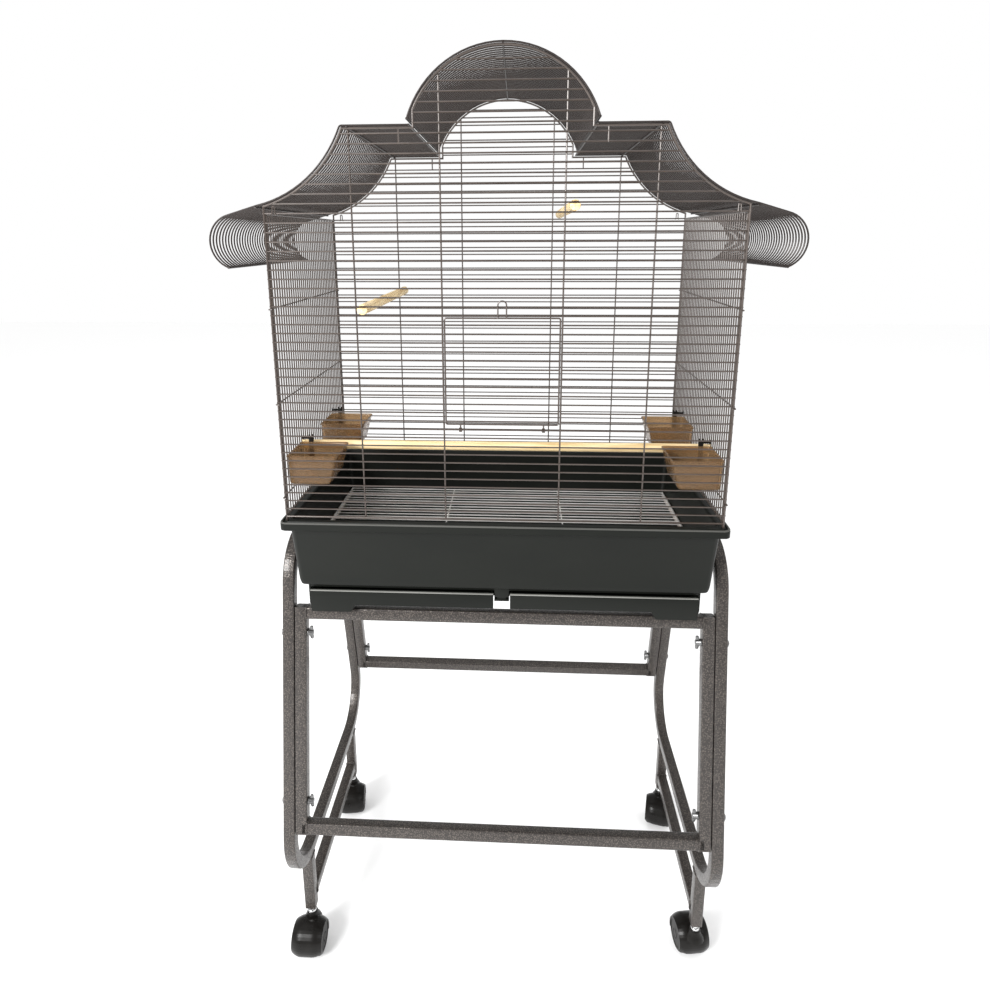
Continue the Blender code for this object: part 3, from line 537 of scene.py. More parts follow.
def roofPiece(name, path, stays):
    bm = bmesh.new()
    half, eave = cage["halfDepth"], cage["eave"]
    thin = carried(roundSection(cage["wire"], 6), inFront(path, 0), (0, 1, 0))
    thick = carried(roundSection(cage["post"], 8), inFront(path, 0), (0, 1, 0))
    for i in range(cage["sideSpaces"] + 1):
        y = -half + cage["sidePitch"] * i
        addTo(bm, thick if i in (0, cage["sideSpaces"]) else thin, shifted(0, y, 0))
    rods = [(spot, roof["rodPast"], cage["edge"]) for spot in (path[0], path[-1])]
    rods += [(spot, roof["stayPast"], cage["stay"]) for spot in stays]
    for (x, z), past, radius in rods:
        straight(bm, (x, -half - past, eave + z), (x, half + past, eave + z), radius, 8)
    # The roof finish is the wire colour darkened as painted shade.
    finishMesh(bm, name + "_wires", root, "roof", (name,))


# The spot so far below a path at x.
def under(path, x, drop):
    for (x0, z0), (x1, z1) in zip(path, path[1:]):
        if x0 <= x <= x1 and x0 != x1:
            return (x, z0 + (z1 - z0) * (x - x0) / (x1 - x0) - drop)


def makeRoof():
    wing = wingPath()
    drop = cage["wire"] + cage["stay"] - roof["sink"]
    stays = [under(wing, roof["creaseStay"], drop), under(wing, roof["eaveStay"], drop)]
    roofPiece("roof_right_wing", wing, stays)
    roofPiece("roof_left_wing", mirrorX(wing), mirrorX(stays))
    roofPiece("roof_dome", domePath(), [(0, roof["domeCentre"] + roof["domeRadius"] - drop)])


panel = {
    "inset": 3.6,           # edge wire below the roof wires
    "step": 118.4,          # where the edge steps up from the wings to the dome
    "crownLevels": 15,      # level wires above the eave
    "inner": 84.1,
    "outer": 205.8,
    "uprightPast": (2.0, 1.0),       # uprights past the bottom wire and the edge wire
    "shortUpright": (138.0, 88.0),   # place and foot of the short uprights beside the dome
    "sink": 0.25,           # how deep the uprights are welded in
    "overhang": 1.6,        # wire ends past the edge wire
    "stub": 1.0,            # wire ends past the door opening's uprights
    "hook": (312.6, 9.6),   # place and height of the small clips at the eave
    "hookWire": 0.85,
    "hookForward": 2.2,
}


def panelOutline():
    wing = clipX(offset(wingPath(), panel["inset"]), panel["step"], cage["halfWidth"])
    wing = [(panel["step"], wing[0][1])] + [point for point in wing if point[0] > panel["step"] + 1]
    dome = clipX(offset(domePath(), panel["inset"]), -panel["step"], panel["step"])
    bottom = -cage["pitch"] * cage["levels"]
    left = mirrorX(reversed(wing))
    return [(-cage["halfWidth"], bottom)] + left + dome + wing + [(cage["halfWidth"], bottom)]


# How far an outline reaches left and right at a height.
def spanAt(outline, height):
    found = []
    for (x0, z0), (x1, z1) in zip(outline, outline[1:] + outline[:1]):
        if (z0 - height) * (z1 - height) < 0:
            found.append(x0 + (x1 - x0) * (height - z0) / (z1 - z0))
    return min(found), max(found)


def roofOver(outline, x):
    return cage["eave"] + under(outline, x, 0)[1]


def eaveHook(bm, side, y):
    place, height = panel["hook"]
    spots = [(-3.6, -1.2), (-1.9, -0.4), (-1.5, height), (1.5, height), (1.9, -0.4), (3.6, -1.2)]
    path = rounded([(side * place + x, z) for x, z in spots], [0, 0.8, 1.4, 1.4, 0.8, 0], 3)
    addTo(bm, carried(roundSection(panel["hookWire"], 6), inFront(path, y), (0, 1, 0)))


def facePanel(name, y, inward, opening):
    outline = panelOutline()
    bottom = level(cage["levels"])
    bm = bmesh.new()
    addTo(bm, carried(roundSection(cage["edge"], 8), inFront(outline, y), (0, 1, 0), True))
    beside = panel["inner"] - panel["stub"]
    for k in range(-panel["crownLevels"], cage["levels"]):
        left, right = spanAt(outline, -cage["pitch"] * k)
        left -= panel["overhang"]
        right += panel["overhang"]
        gap = opening and door["topLevel"] < k < door["bottomLevel"]
        for start, end in [(left, -beside), (beside, right)] if gap else [(left, right)]:
            straight(bm, (start, y, level(k)), (end, y, level(k)), cage["wire"])
    step = y + inward * (cage["wire"] + cage["stay"] - panel["sink"])
    below, above = panel["uprightPast"]
    for x in (-panel["outer"], -panel["inner"], panel["inner"], panel["outer"]):
        upright(bm, x, step, bottom - below, roofOver(outline, x) + above, cage["stay"], 8)
    if opening:
        for x in (-panel["inner"], panel["inner"]):
            upright(bm, x, y, level(door["bottomLevel"]), level(door["topLevel"]), cage["stay"], 8)
    place, foot = panel["shortUpright"]
    for x in (-place, place):
        upright(bm, x, y, cage["eave"] + foot, roofOver(outline, x) + above, cage["wire"])
    for x in (-cage["halfWidth"], cage["halfWidth"]):
        upright(bm, x, y, bottom - cage["foot"], bottom + below, cage["edge"], 8)
    for side in (-1, 1):
        eaveHook(bm, side, y - inward * panel["hookForward"])
    finishMesh(bm, name + "_wires", root, "wire", (name,))


sideWall = {
    "past": (1.5, 1.2),     # wire ends past the bottom wire and the eave
    "postIn": 4.6,          # posts and rails in from the corners
    "railIn": 3.0,
    "railDrop": 0.4,        # top rail below the eave
    "sink": 0.2,
    "crosses": (131.0, 269.5, 414.5),
    "crossPast": 3.4,       # cross wires past the posts, before they hook round
    "crossHook": 4.4,
    "crossBend": 1.6,
    "crossWire": 1.1,
}


def sidePanel(name, out):
    bm = bmesh.new()
    half, eave, bottom = cage["halfDepth"], cage["eave"], level(cage["levels"])
    below, above = sideWall["past"]
    x = out * cage["halfWidth"]
    for i in range(1, cage["sideSpaces"]):
        upright(bm, x, -half + cage["sidePitch"] * i, bottom - below, eave + above, cage["wire"])
    post, rail = half - sideWall["postIn"], half - sideWall["railIn"]
    for y in (-post, post):
        upright(bm, x, y, bottom - cage["foot"], eave + above, cage["post"], 8)
    for z in (bottom, eave - sideWall["railDrop"]):
        straight(bm, (x, -rail, z), (x, rail, z), cage["edge"], 8)
    spot = x + out * (cage["wire"] + cage["stay"] - sideWall["sink"])
    tip, reach, bend = spot - out * sideWall["crossHook"], half + sideWall["crossPast"], sideWall["crossBend"]
    hook = rounded([(tip, -reach), (spot, -reach), (spot, reach), (tip, reach)], [0, bend, bend, 0], 4)
    for drop in sideWall["crosses"]:
        path = [(acrossX, acrossY, eave - drop) for acrossX, acrossY in hook]
        addTo(bm, carried(roundSection(sideWall["crossWire"], 8), path, (0, 0, 1)))
    finishMesh(bm, name + "_wires", root, "wire", (name,))


door = {
    "half": 81.0,
    "topLevel": 11,
    "bottomLevel": 24,
    "topGap": 2.9,
    "footGap": 8.3,
    "frame": 1.2,           # radius of its edge wire
    "corner": 2.5,
    "clear": 2.0,           # no level wire lies nearer its edge wire
    "past": 1.0,
    "loop": (6.0, 24.0),    # half width of the finger loop, and its rise
    "loopFoot": 5.0,        # how far its feet lie along the door's top wire
    "loopBend": 1.6,
    "loopWire": 1.0,
    "loopForward": 2.0,
    "coils": (-60.0, 60.0),  # places of the coils that turn on the wire below
    "coilRadius": 2.6,
    "coilWire": 0.75,
    "coilPitch": 1.5,
    "coilSteps": 14,
    "coilEnd": (2.4, 0.4),  # its straight end starts over the wire and ends in the door's foot
}


def makeDoor():
    bm = bmesh.new()
    y = -cage["halfDepth"]
    axis = level(door["bottomLevel"])
    low, high = axis + door["footGap"], level(door["topLevel"]) - door["topGap"]
    half, clear = door["half"], door["clear"]
    corners = rounded([(-half, low), (-half, high), (half, high), (half, low)], [door["corner"]] * 4, 3, True)
    addTo(bm, carried(roundSection(door["frame"], 8), [(x, y, z) for x, z in corners], (0, 1, 0), True))
    reach = half + door["past"]
    for k in range(door["topLevel"] + 1, door["bottomLevel"]):
        if low + clear < level(k) < high - clear:
            straight(bm, (-reach, y, level(k)), (reach, y, level(k)), cage["wire"])
    (wide, rise), bend = door["loop"], door["loopBend"]
    foot = wide + door["loopFoot"]
    top = high + rise
    spots = [(-foot, high), (-wide, high), (-wide, top), (wide, top), (wide, high), (foot, high)]
    loop = rounded(spots, [0, bend, wide - 0.2, wide - 0.2, bend, 0], 6)
    forward = y - door["loopForward"]
    addTo(bm, carried(roundSection(door["loopWire"], 8), [(x, forward, z) for x, z in loop], (0, 1, 0)))
    turn = arcPoints((y, axis), door["coilRadius"], 0, tau, door["coilSteps"])[:-1]
    pitch, wire = door["coilPitch"], roundSection(door["coilWire"], 6)
    start, end = door["coilEnd"]
    for x in door["coils"]:
        coil = carried(wire, [(x, coilY, z) for coilY, z in turn], (1, 0, 0), True)
        for shift in (-pitch, 0, pitch):
            addTo(bm, coil, shifted(shift, 0, 0))
        upright(bm, x, y, axis + start, low + end, door["frame"])
    finishMesh(bm, "front_door_wires", "door", "wire", ("front_door",))


makeRoof()
facePanel("front_panel", -cage["halfDepth"], 1, True)
facePanel("back_panel", cage["halfDepth"], -1, False)
sidePanel("left_side_panel", -1)
sidePanel("right_side_panel", 1)
makeDoor()
print("wire body made")


# Tray, its housing, the drawers and the grate
tray = {
    "rimHalf": (337.0, 187.8),
    "rimTop": 838.4,
    "rimBottom": 825.2,
    "topHalf": (325.6, 176.4),
    "bottomHalf": (318.6, 169.4),
    "bottom": 725.4,
    "wall": 3.0,
    "seat": 5.6,           # how far the flat seat of the wire body reaches past the wall
    "bead": 2.6,           # side of the raised bead round the rim
    "corner": 9.0,
    "ledge": (309.6, 317.9, 753.9, 756.8),   # inner and outer half width, and heights
    "ledgeReach": 153.0,
}


def makeTray():
    wall, top, bottom, below = tray["wall"], tray["rimTop"], tray["bottom"], tray["rimBottom"]
    seat, bead = tray["seat"], tray["bead"]
    floor = bottom + wall
    sections = takenIn(tray["bottomHalf"], [(wall + 5, floor), (wall + 1.5, floor + 1), (wall, floor + 5)])
    sections += takenIn(tray["topHalf"], [(4.4, top - 7), (3.6, top - 1.6), (2.4, top), (-seat, top),
                                          (-seat - 1, top - bead)])
    sections += takenIn(tray["rimHalf"], [(0, top - bead), (0, below + 0.8), (0.8, below), (2.6, below),
                                          (2.8, below + 3)])
    sections += takenIn(tray["topHalf"], [(-0.6, below + 3), (0, below + 2)])
    sections += takenIn(tray["bottomHalf"], [(-0.6, bottom + 9), (0.4, bottom + 4), (1.2, bottom + 1.2),
                                             (3, bottom)])
    finishMesh(ringStack(sections, tray["corner"], 5), "tray_tub", root, "tray", ("tray",), 32)
    # A raised bead round the rim, painted lighter than the tub as a highlight along its edge.
    bm = bmesh.new()
    x, y = (half - bead / 2 for half in tray["rimHalf"])
    corners = rounded([(x, y), (-x, y), (-x, -y), (x, -y)], [tray["corner"]] * 4, 4, True)
    path = [(beadX, beadY, top - bead / 2) for beadX, beadY in corners]
    addTo(bm, carried(squareSection(bead, 0.6), path, (0, 0, 1), True))
    finishMesh(bm, "tray_rim_bead", root, "bead", ("tray",))
    # Ledges inside the tub, painted pale as a highlight.
    bm = bmesh.new()
    near, far, low, high = tray["ledge"]
    for side in (-1, 1):
        roundedBox(bm, (side * near, side * far), (-tray["ledgeReach"], tray["ledgeReach"]), (low, high), 0.6)
    finishMesh(bm, "tray_ledges", root, "ledge", ("tray",))


housing = {
    "skirt": 303.4,
    "skirtBack": 156.8,
    "thick": 3.4,
    "soft": 0.8,           # rounding of the edges
    "stem": 7.0,
    "flange": 11.6,
    "rail": 702.8,
    "railFront": 0.8,      # behind the drawers' fronts
    "block": (7.4, 2.9),   # the flange's front block, its end and how far over the runners
    "behind": 0.4,         # from the drawers' faces
    "over": 1.2,           # from the drawers' tops
    "frontThick": 3.0,
    "footBottom": 678.8,
    "footTop": 691.0,
    "footInner": 240.0,
    "footOuter": 301.6,
    "footSlope": 7.5,      # how far the foot's inner side leans out
    "footSoft": 0.9,
    "pads": (-110.0, -20.0, 70.0),   # small pads flush with the soles
    "padHalf": (252.0, 290.0),
    "padSize": (4.0, 2.0),
}


def makeHousing():
    skirt, thick, soft = housing["skirt"], housing["thick"], housing["soft"]
    stem, flange, rail = housing["stem"], housing["flange"], housing["rail"]
    back, sole, footTop = housing["skirtBack"], housing["footBottom"], housing["footTop"]
    front, inner = drawer["front"], housing["footInner"]
    skirtFront = front + drawer["face"] + housing["behind"]
    up = tray["bottom"] + 1        # the housing ends inside the tub's floor
    foot = [(inner, sole), (housing["footOuter"], sole), (skirt + thick, footTop),
            (inner - housing["footSlope"], footTop)]
    (near, far), (deep, high) = housing["padHalf"], housing["padSize"]
    bm = bmesh.new()
    for side in (-1, 1):
        roundedBox(bm, (side * skirt, side * (skirt + thick)), (skirtFront + 1, back + thick),
                   (footTop - 1, up), soft)
        shape = slab([(side * x, z) for x, z in foot], -skirtFront, -back - thick, housing["footSoft"])
        addTo(bm, shape, Matrix.Rotation(radians(90), 4, "X"))
        for y in housing["pads"]:
            roundedBox(bm, (side * near, side * far), (y, y + deep), (sole, sole + high), 0.5)
    roundedBox(bm, (-skirt, skirt), (back, back + thick), (footTop - 1, up), soft)
    roundedBox(bm, (-skirt, skirt), (skirtFront, skirtFront + housing["frontThick"]),
               (drawer["top"] + housing["over"], up), 0.6)
    roundedBox(bm, (-stem, stem), (front + 2, back + 1), (rail + 1, up), soft)
    railFront, (blockEnd, blockOver) = front + housing["railFront"], housing["block"]
    roundedBox(bm, (-flange, flange), (railFront, drawer["back"]), (rail, rail + thick), soft)
    roundedBox(bm, (-flange, flange), (railFront, front + blockEnd), (drawer["runner"] + blockOver, up), soft)
    finishMesh(bm, "tray_housing", root, "tray", ("tray",))


drawer = {
    "inner": 13.0,
    "outer": 302.6,
    "front": -166.0,
    "back": 149.6,
    "bottom": 691.4,
    "top": 717.8,
    "corner": 2.0,
    "face": 4.0,
    "faceSoft": 0.7,
    "slopeInner": 231.5,   # where the face starts to slope down to its tab
    "tabInner": 239.0,
    "tab": 679.2,          # height of the tab's foot
    "tabCut": 2.2,
    "lip": (2.6, 1.6),     # how far the lip stands out, and its height; the lip is painted light as a highlight
    "runner": 706.6,
    "runnerThick": 2.3,
    "runnerFront": 11.0,   # behind the drawer's front
    "runnerGap": 0.9,      # from the housing's stem
    "runnerSink": 1.6,     # into the drawer's wall
}


def makeDrawer(name, body, side):
    inner, outer, tab, cut = drawer["inner"], drawer["outer"], drawer["tab"], drawer["tabCut"]
    low, high, runner = drawer["bottom"], drawer["top"], drawer["runner"]
    half, top = (outer - inner) / 2 - 1, high - 1
    depth = (drawer["back"] - drawer["front"]) / 2
    sections = [(half - 4, depth - 5, low + 2.2), (half - 2.6, depth - 3.2, low + 3.4),
                (half - 2.2, depth - 2.4, top - 1), (half - 1.8, depth - 2.0, top)]
    sections += takenIn((half, depth), [(0.5, top), (0, top - 0.6), (0, low + 2), (0.6, low + 0.6), (2, low)])
    bm = ringStack(sections, drawer["corner"], 3)
    bmesh.ops.translate(bm, vec=(side * (outer + inner) / 2, (drawer["front"] + drawer["back"]) / 2, 0),
                        verts=bm.verts)
    face = [(inner, low), (drawer["slopeInner"], low), (drawer["tabInner"], tab), (outer - cut, tab),
            (outer, tab + cut), (outer, high), (inner, high)]
    front = -drawer["front"] + drawer["face"] / 2
    addTo(bm, slab([(side * x, z) for x, z in face], front - drawer["face"], front, drawer["faceSoft"]),
          Matrix.Rotation(radians(90), 4, "X"))
    roundedBox(bm, (side * (housing["stem"] + drawer["runnerGap"]), side * (inner + drawer["runnerSink"])),
               (drawer["front"] + drawer["runnerFront"], drawer["back"]),
               (runner, runner + drawer["runnerThick"]), 0.5)
    finishMesh(bm, name + "_shell", body, "tray", (name,))
    # The lip along the top of the face, painted lighter than the drawer as a highlight.
    bm = bmesh.new()
    out, tall = drawer["lip"]
    roundedBox(bm, (side * inner, side * (outer - 1)), (-front - out, -front + 1), (high - tall, high), 0.6)
    finishMesh(bm, name + "_lip", body, "lip", (name,))


grate = {
    "height": 758.8,
    "half": (313.2, 164.0),
    "spaces": 26,
    "bar": 1.24,           # radii of its wires
    "side": 1.6,
    "end": 1.4,
    "cross": 1.2,
    "crossDrop": 1.9,
    "sidePast": 1.5,       # their ends past the end wires
    "crossPast": 1.1,
}


def makeGrate():
    z = grate["height"]
    halfX, halfY = grate["half"]
    bar = bmesh.new()
    straight(bar, (-halfX, 0, z), (halfX, 0, z), grate["bar"])
    bar = kept(bar)
    bm = bmesh.new()
    for i in range(grate["spaces"] + 1):
        addTo(bm, bar, shifted(0, 2 * halfY / grate["spaces"] * i - halfY, 0))
    reach = halfY + grate["sidePast"]
    for x in (-halfX, halfX):
        straight(bm, (x, -reach, z), (x, reach, z), grate["side"], 8)
    for y in (-halfY, halfY):
        straight(bm, (-halfX, y, z), (halfX, y, z), grate["end"], 8)
    reach, z = halfY + grate["crossPast"], z - grate["crossDrop"]
    for x in (-halfX / 3, halfX / 3):
        straight(bm, (x, -reach, z), (x, reach, z), grate["cross"], 8)
    finishMesh(bm, "floor_grate_wires", root, "grate", ("floor_grate",))


makeTray()
makeHousing()
makeDrawer("left_drawer", "drawer_left", -1)
makeDrawer("right_drawer", "drawer_right", 1)
makeGrate()
print("tray, drawers and grate made")


# Stand
stand = {
    "tube": 19.0,
    "corner": 2.2,
    "lean": 0.20,          # how far the legs spread for each unit down
    "railY": 149.2,        # the legs' middles at the top frame
    "loopX": 344.4,
    "frameX": 324.4,
    "loopTop": 772.0,
    "loopBottom": 197.0,
    "topBend": 70.0,
    "bottomBend": 85.0,
    "frameTop": 667.2,
    "frameBottom": 318.0,
    "postY": 153.0,
    "postBottom": 76.0,
    "footRail": 102.5,
    "weld": 1.5,
    "weldCorner": 2.4,
    "sink": 2.0,           # how far the rails end inside the posts
    "bolts": (360.0, 634.0),
}


def legY(z):
    return stand["railY"] + stand["lean"] * (stand["frameTop"] - z)


# A bead of weld round the foot of a square tube.
def weldRound(bm, centre, axis):
    half = stand["tube"] / 2
    corners = [(-half, -half), (half, -half), (half, half), (-half, half)]
    path = rounded(corners, [stand["weldCorner"]] * 4, 3, True)
    bead = carried(roundSection(stand["weld"], 6), [(x, y, 0) for x, y in path], (0, 0, 1), True)
    addTo(bm, bead, shifted(*centre) @ turnedTo(axis))


def makeSideFrame(name, x):
    half = stand["tube"] / 2
    tube = squareSection(stand["tube"], stand["corner"])
    high, low, rail = stand["loopTop"], stand["loopBottom"], stand["footRail"]
    corners = [(-legY(high), high), (legY(high), high), (legY(low), low), (-legY(low), low)]
    loop = rounded(corners, [stand["topBend"]] * 2 + [stand["bottomBend"]] * 2, 12, True)
    bm = bmesh.new()
    addTo(bm, carried(tube, [(x, y, z) for y, z in loop], (1, 0, 0), True))
    for y in (-stand["postY"], stand["postY"]):
        addTo(bm, carried(tube, [(x, y, stand["postBottom"]), (x, y, low)], (1, 0, 0)))
        weldRound(bm, (x, y, low - half), (0, 0, 1))
    end = stand["postY"] - stand["sink"]
    addTo(bm, carried(tube, [(x, -end, rail), (x, end, rail)], (1, 0, 0)))
    for side in (-1, 1):
        weldRound(bm, (x, side * (stand["postY"] - half), rail), (0, 1, 0))
    finishMesh(bm, name + "_tubes", root, "steel", (name,))


def makeEndFrame(name, sign):
    half = stand["tube"] / 2
    tube = squareSection(stand["tube"], stand["corner"])
    tilt = atan(stand["lean"])
    middle = (stand["frameTop"] + stand["frameBottom"]) / 2
    reach = (stand["frameTop"] - stand["frameBottom"]) / 2 / cos(tilt)
    bm = bmesh.new()
    for x in (-stand["frameX"], stand["frameX"]):
        addTo(bm, carried(tube, [(x, 0, -reach - half), (x, 0, reach + half)], (1, 0, 0)))
        for z in (-reach, reach):
            weldRound(bm, (x - half if x > 0 else x + half, 0, z), (1, 0, 0))
    end = stand["frameX"] - stand["sink"]
    for z in (-reach, reach):
        addTo(bm, carried(tube, [(-end, 0, z), (end, 0, z)], (0, 1, 0)))
    place = shifted(0, sign * legY(middle), middle) @ Matrix.Rotation(sign * tilt, 4, "X")
    bmesh.ops.transform(bm, matrix=place, verts=bm.verts)
    finishMesh(bm, name + "_tubes", root, "steel", (name,))


# Bolts with domed heads outside and wing nuts inside
bolt = {
    "head": 6.6,
    "dome": (6.5, -2.6, 38.0),   # radius, height of its centre, and where it starts in degrees
    "shank": 3.0,
    "nut": 5.9,
    "nutHeight": 9.2,
    "wing": 11.4,
    "wingThick": 2.6,
    "wingSoft": 0.6,
    "gap": 0.4,
}


def makeBolt(name, out, y, z):
    outer = stand["loopX"] + stand["tube"] / 2 + bolt["gap"]
    inner = stand["frameX"] - stand["tube"] / 2 - bolt["gap"]
    reach, nutReach, high, tip = bolt["head"], bolt["nut"], bolt["nutHeight"], bolt["wing"]
    dome, centre, start = bolt["dome"]
    head = [(0, 0), (reach, 0), (reach, 0.9), (reach - 1.0, 1.0), (reach - 1.3, 1.9)]
    head += arcPoints((0, centre), dome, radians(start), pi / 2, 6)
    nut = [(0, 0), (nutReach, 0), (nutReach, 1.2), (nutReach - 0.6, 1.8), (nutReach - 1.2, high - 1.2),
           (nutReach - 2.2, high - 0.2), (0, high - 0.2)]
    wing = rounded([(2.0, 1.2), (7.4, 3.2), (tip, 4.4), (tip, 8.6), (7.0, 9.0), (2.0, 8.2)],
                   [0.6, 2.0, 1.8, 1.8, 2.0, 0.6], 3, True)
    bm = bmesh.new()
    addTo(bm, lathed(head, 24), shifted(out * outer, y, z) @ turnedTo((out, 0, 0)))
    straight(bm, (out * (inner - 3), y, z), (out * (outer + 1), y, z), bolt["shank"], 12)
    addTo(bm, lathed(nut, 20), shifted(out * inner, y, z) @ turnedTo((-out, 0, 0)))
    half = bolt["wingThick"] / 2
    stood = Matrix(((0, -out, 0, out * inner), (0, 0, 1, y), (1, 0, 0, z), (0, 0, 0, 1)))
    for flip in (-1, 1):
        shape = slab([(flip * across, along) for across, along in wing], -half, half, bolt["wingSoft"])
        addTo(bm, shape, stood)
    finishMesh(bm, name + "_fastener", root, "zinc", (name,))


for sideName, sign in (("left", -1), ("right", 1)):
    makeSideFrame(sideName + "_side_frame", sign * stand["loopX"])
    for row, way in (("front", -1), ("back", 1)):
        for grade, height in zip(("lower", "upper"), stand["bolts"]):
            makeBolt(f"bolt_{row}_{sideName}_{grade}", sign, way * legY(height), height)
makeEndFrame("front_frame", -1)
makeEndFrame("back_frame", 1)
print("stand made")


# Casters, drawn round the swivel axis and then turned
caster = {
    "wheel": 28.0,
    "width": 21.6,
    "gap": 5.2,            # from the middle to a wheel's inner side
    "shoulder": 7.0,       # how far the treads round off at their outer sides
    "web": 4.6,
    "hood": 31.4,
    "hoodHalf": 27.2,
    "hoodWall": 2.3,
    "hoodDrop": 6.2,       # how far the hood closes in at its sides
    "hoodLow": 16.0,
    "trail": 20.0,         # axle behind the swivel's axis
    "boss": 9.0,
    "bossTop": 64.0,
    "ring": 7.4,
    "pin": 5.4,
    "insert": (7.6, 5.0),  # half width and height of the plug in the post
    # How far each caster is turned at rest, in degrees
    "turns": {"front_left": 0.0, "front_right": 188.0, "back_left": 8.0, "back_right": -14.0},
}


def hoodSection(bm):
    outer = []
    for i in range(-8, 9):
        share = i / 8
        drop = caster["hoodDrop"] * (max(0, abs(share) - 0.35) / 0.65) ** 2   # flat over the middle 35 %
        outer.append((drop - caster["hoodWall"] / 2, share * caster["hoodHalf"]))
    inner = [(x + caster["hoodWall"], y) for x, y in reversed(outer)]
    bm.faces.new([bm.verts.new((x, y, 0)) for x, y in outer + inner])


def hoodMesh():
    wide, high = caster["boss"], caster["bossTop"]
    reach = asin((caster["wheel"] - caster["hoodLow"]) / caster["hood"])
    middle = caster["hood"] - caster["hoodWall"] / 2
    arc = arcPoints((-caster["trail"], caster["wheel"]), middle, -reach, pi + reach, 26)
    bm = bmesh.new()
    addTo(bm, carried(hoodSection, [(0, y, z) for y, z in arc], (1, 0, 0)))
    web = slab(arc, -caster["web"], caster["web"], 0.8)
    addTo(bm, web, Matrix(((0, 0, 1, 0), (1, 0, 0, 0), (0, 1, 0, 0), (0, 0, 0, 1))))
    boss = [(0, 41), (16.8, 44), (15.4, 48), (13.2, 52), (11.2, 56), (9.7, 60), (wide, high - 1.2),
            (wide - 1.2, high), (0, high)]
    addTo(bm, lathed(boss, 28))
    return kept(bm)


def collarMesh():
    ring, pin, low, top = caster["ring"], caster["pin"], caster["bossTop"], stand["postBottom"] - 0.4
    profile = [(0, low - 1), (ring, low - 1), (ring, low + 2.2), (ring - 0.8, low + 3.2), (pin, low + 3.6),
               (pin, top - 3.4), (ring - 0.6, top - 3.0), (ring - 0.2, top - 0.6), (pin, top), (0, top)]
    return lathed(profile, 28)


def wheelMesh():
    radius, near, shoulder = caster["wheel"], caster["gap"], caster["shoulder"]
    far, flat = near + caster["width"], radius - shoulder
    profile = [(0, near - 0.4), (6.0, near - 0.4), (6.6, near + 0.6), (radius - 4, near + 0.8),
               (radius - 2, near + 0.2), (radius - 0.9, near + 0.5), (radius - 0.2, near + 1.6),
               (radius, near + 3.4)]
    profile += arcPoints((flat, far - shoulder), shoulder, 0, pi / 2, 8)
    profile += [(flat - 0.6, far - 0.9), (flat - 1.6, far - 1.0), (13.0, far - 0.5), (8.4, far - 0.4),
                (7.9, far - 1.2), (6.6, far - 1.3), (6.2, far - 0.4), (3.5, far - 0.2), (0, far - 0.1)]
    return lathed(profile, 40)


def makeCasters():
    hood, collar, wheel = hoodMesh(), collarMesh(), wheelMesh()
    axle = shifted(0, -caster["trail"], caster["wheel"])
    (half, high), plug = caster["insert"], stand["postBottom"]
    for key, turn in caster["turns"].items():
        row, sideName = key.split("_")
        x = stand["loopX"] if sideName == "right" else -stand["loopX"]
        y = stand["postY"] if row == "back" else -stand["postY"]
        place = shifted(x, y, 0) @ Matrix.Rotation(radians(turn), 4, "Z")
        for form, ending, finish in ((hood, "hood", "caster"), (collar, "collar", "chrome")):
            bm = bmesh.new()
            addTo(bm, form, place)
            finishMesh(bm, f"caster_{key}_{ending}", f"swivel_{key}", finish, (f"caster_{key}",))
        bm = bmesh.new()
        for side in (-1, 1):
            addTo(bm, wheel, place @ axle @ turnedTo((side, 0, 0)))
        finishMesh(bm, f"wheels_{key}_pair", f"wheelset_{key}", "wheel", (f"wheels_{key}",))
        bm = bmesh.new()
        roundedBox(bm, (x - half, x + half), (y - half, y + half), (plug - 0.2, plug + high), 0.6)
        finishMesh(bm, f"post_{key}_insert", root, "caster")


makeCasters()
print("casters made")


# Perches
perch = {
    "radius": 7.4,
    "past": 3.4,
    "notchHalf": 1.9,
    "notchDeep": 3.3,
    "across": 20.0,        # a notch cuts right through the wood
    "wireUp": 3.8,         # the side perches' wires above their middles
    "long": (-76.2, 928.8),
    "left": (-196.4, 1159.0),
    "right": (97.0, 1298.7),
}


def dowel(name, wireAt, notchX, notchY, place, finish):
    radius, reach = perch["radius"], wireAt + perch["past"]
    profile = [(0, -reach), (radius - 1.3, -reach), (radius - 0.4, -reach + 0.5), (radius, -reach + 1.6),
               (radius, reach - 1.6), (radius - 0.4, reach - 0.5), (radius - 1.3, reach), (0, reach)]
    cutters = []
    for side in (-1, 1):
        along = sorted((side * (wireAt - perch["notchDeep"]), side * (reach + 2)))
        cutters.append(boxMesh(notchX, notchY, along))
    bm = bmesh.new()
    addTo(bm, cutAway(lathed(profile, 32), cutters), place)
    finishMesh(bm, name + "_dowel", root, finish, (name,))


def makePerches():
    half, up = perch["notchHalf"], perch["wireUp"]
    through = (-perch["across"], perch["across"])
    y, z = perch["long"]
    alongX = Matrix(((0, 0, 1, 0), (1, 0, 0, y), (0, 1, 0, z), (0, 0, 0, 1)))
    dowel("long_perch", cage["halfWidth"], (-half, half), through, alongX, "woodX")
    for key in ("left", "right"):
        x, z = perch[key]
        alongY = Matrix(((1, 0, 0, x), (0, 0, 1, 0), (0, 1, 0, z), (0, 0, 0, 1)))
        dowel(key + "_perch", cage["halfDepth"], through, (up - half, up + half), alongY, "woodY")


# Feed cups and the clips that hang them
cup = {
    "top": 937.8,
    "height": 46.0,
    "width": 78.0,
    "length": 76.0,
    "outer": 325.9,
    "rim": 1.5,
    "wall": 2.0,
    "corner": 4.0,
    "slope": (12.0, 18.0),  # run and rise of the slope under the side that faces in
    "rows": {"front": -130.0, "back": 50.0},
}


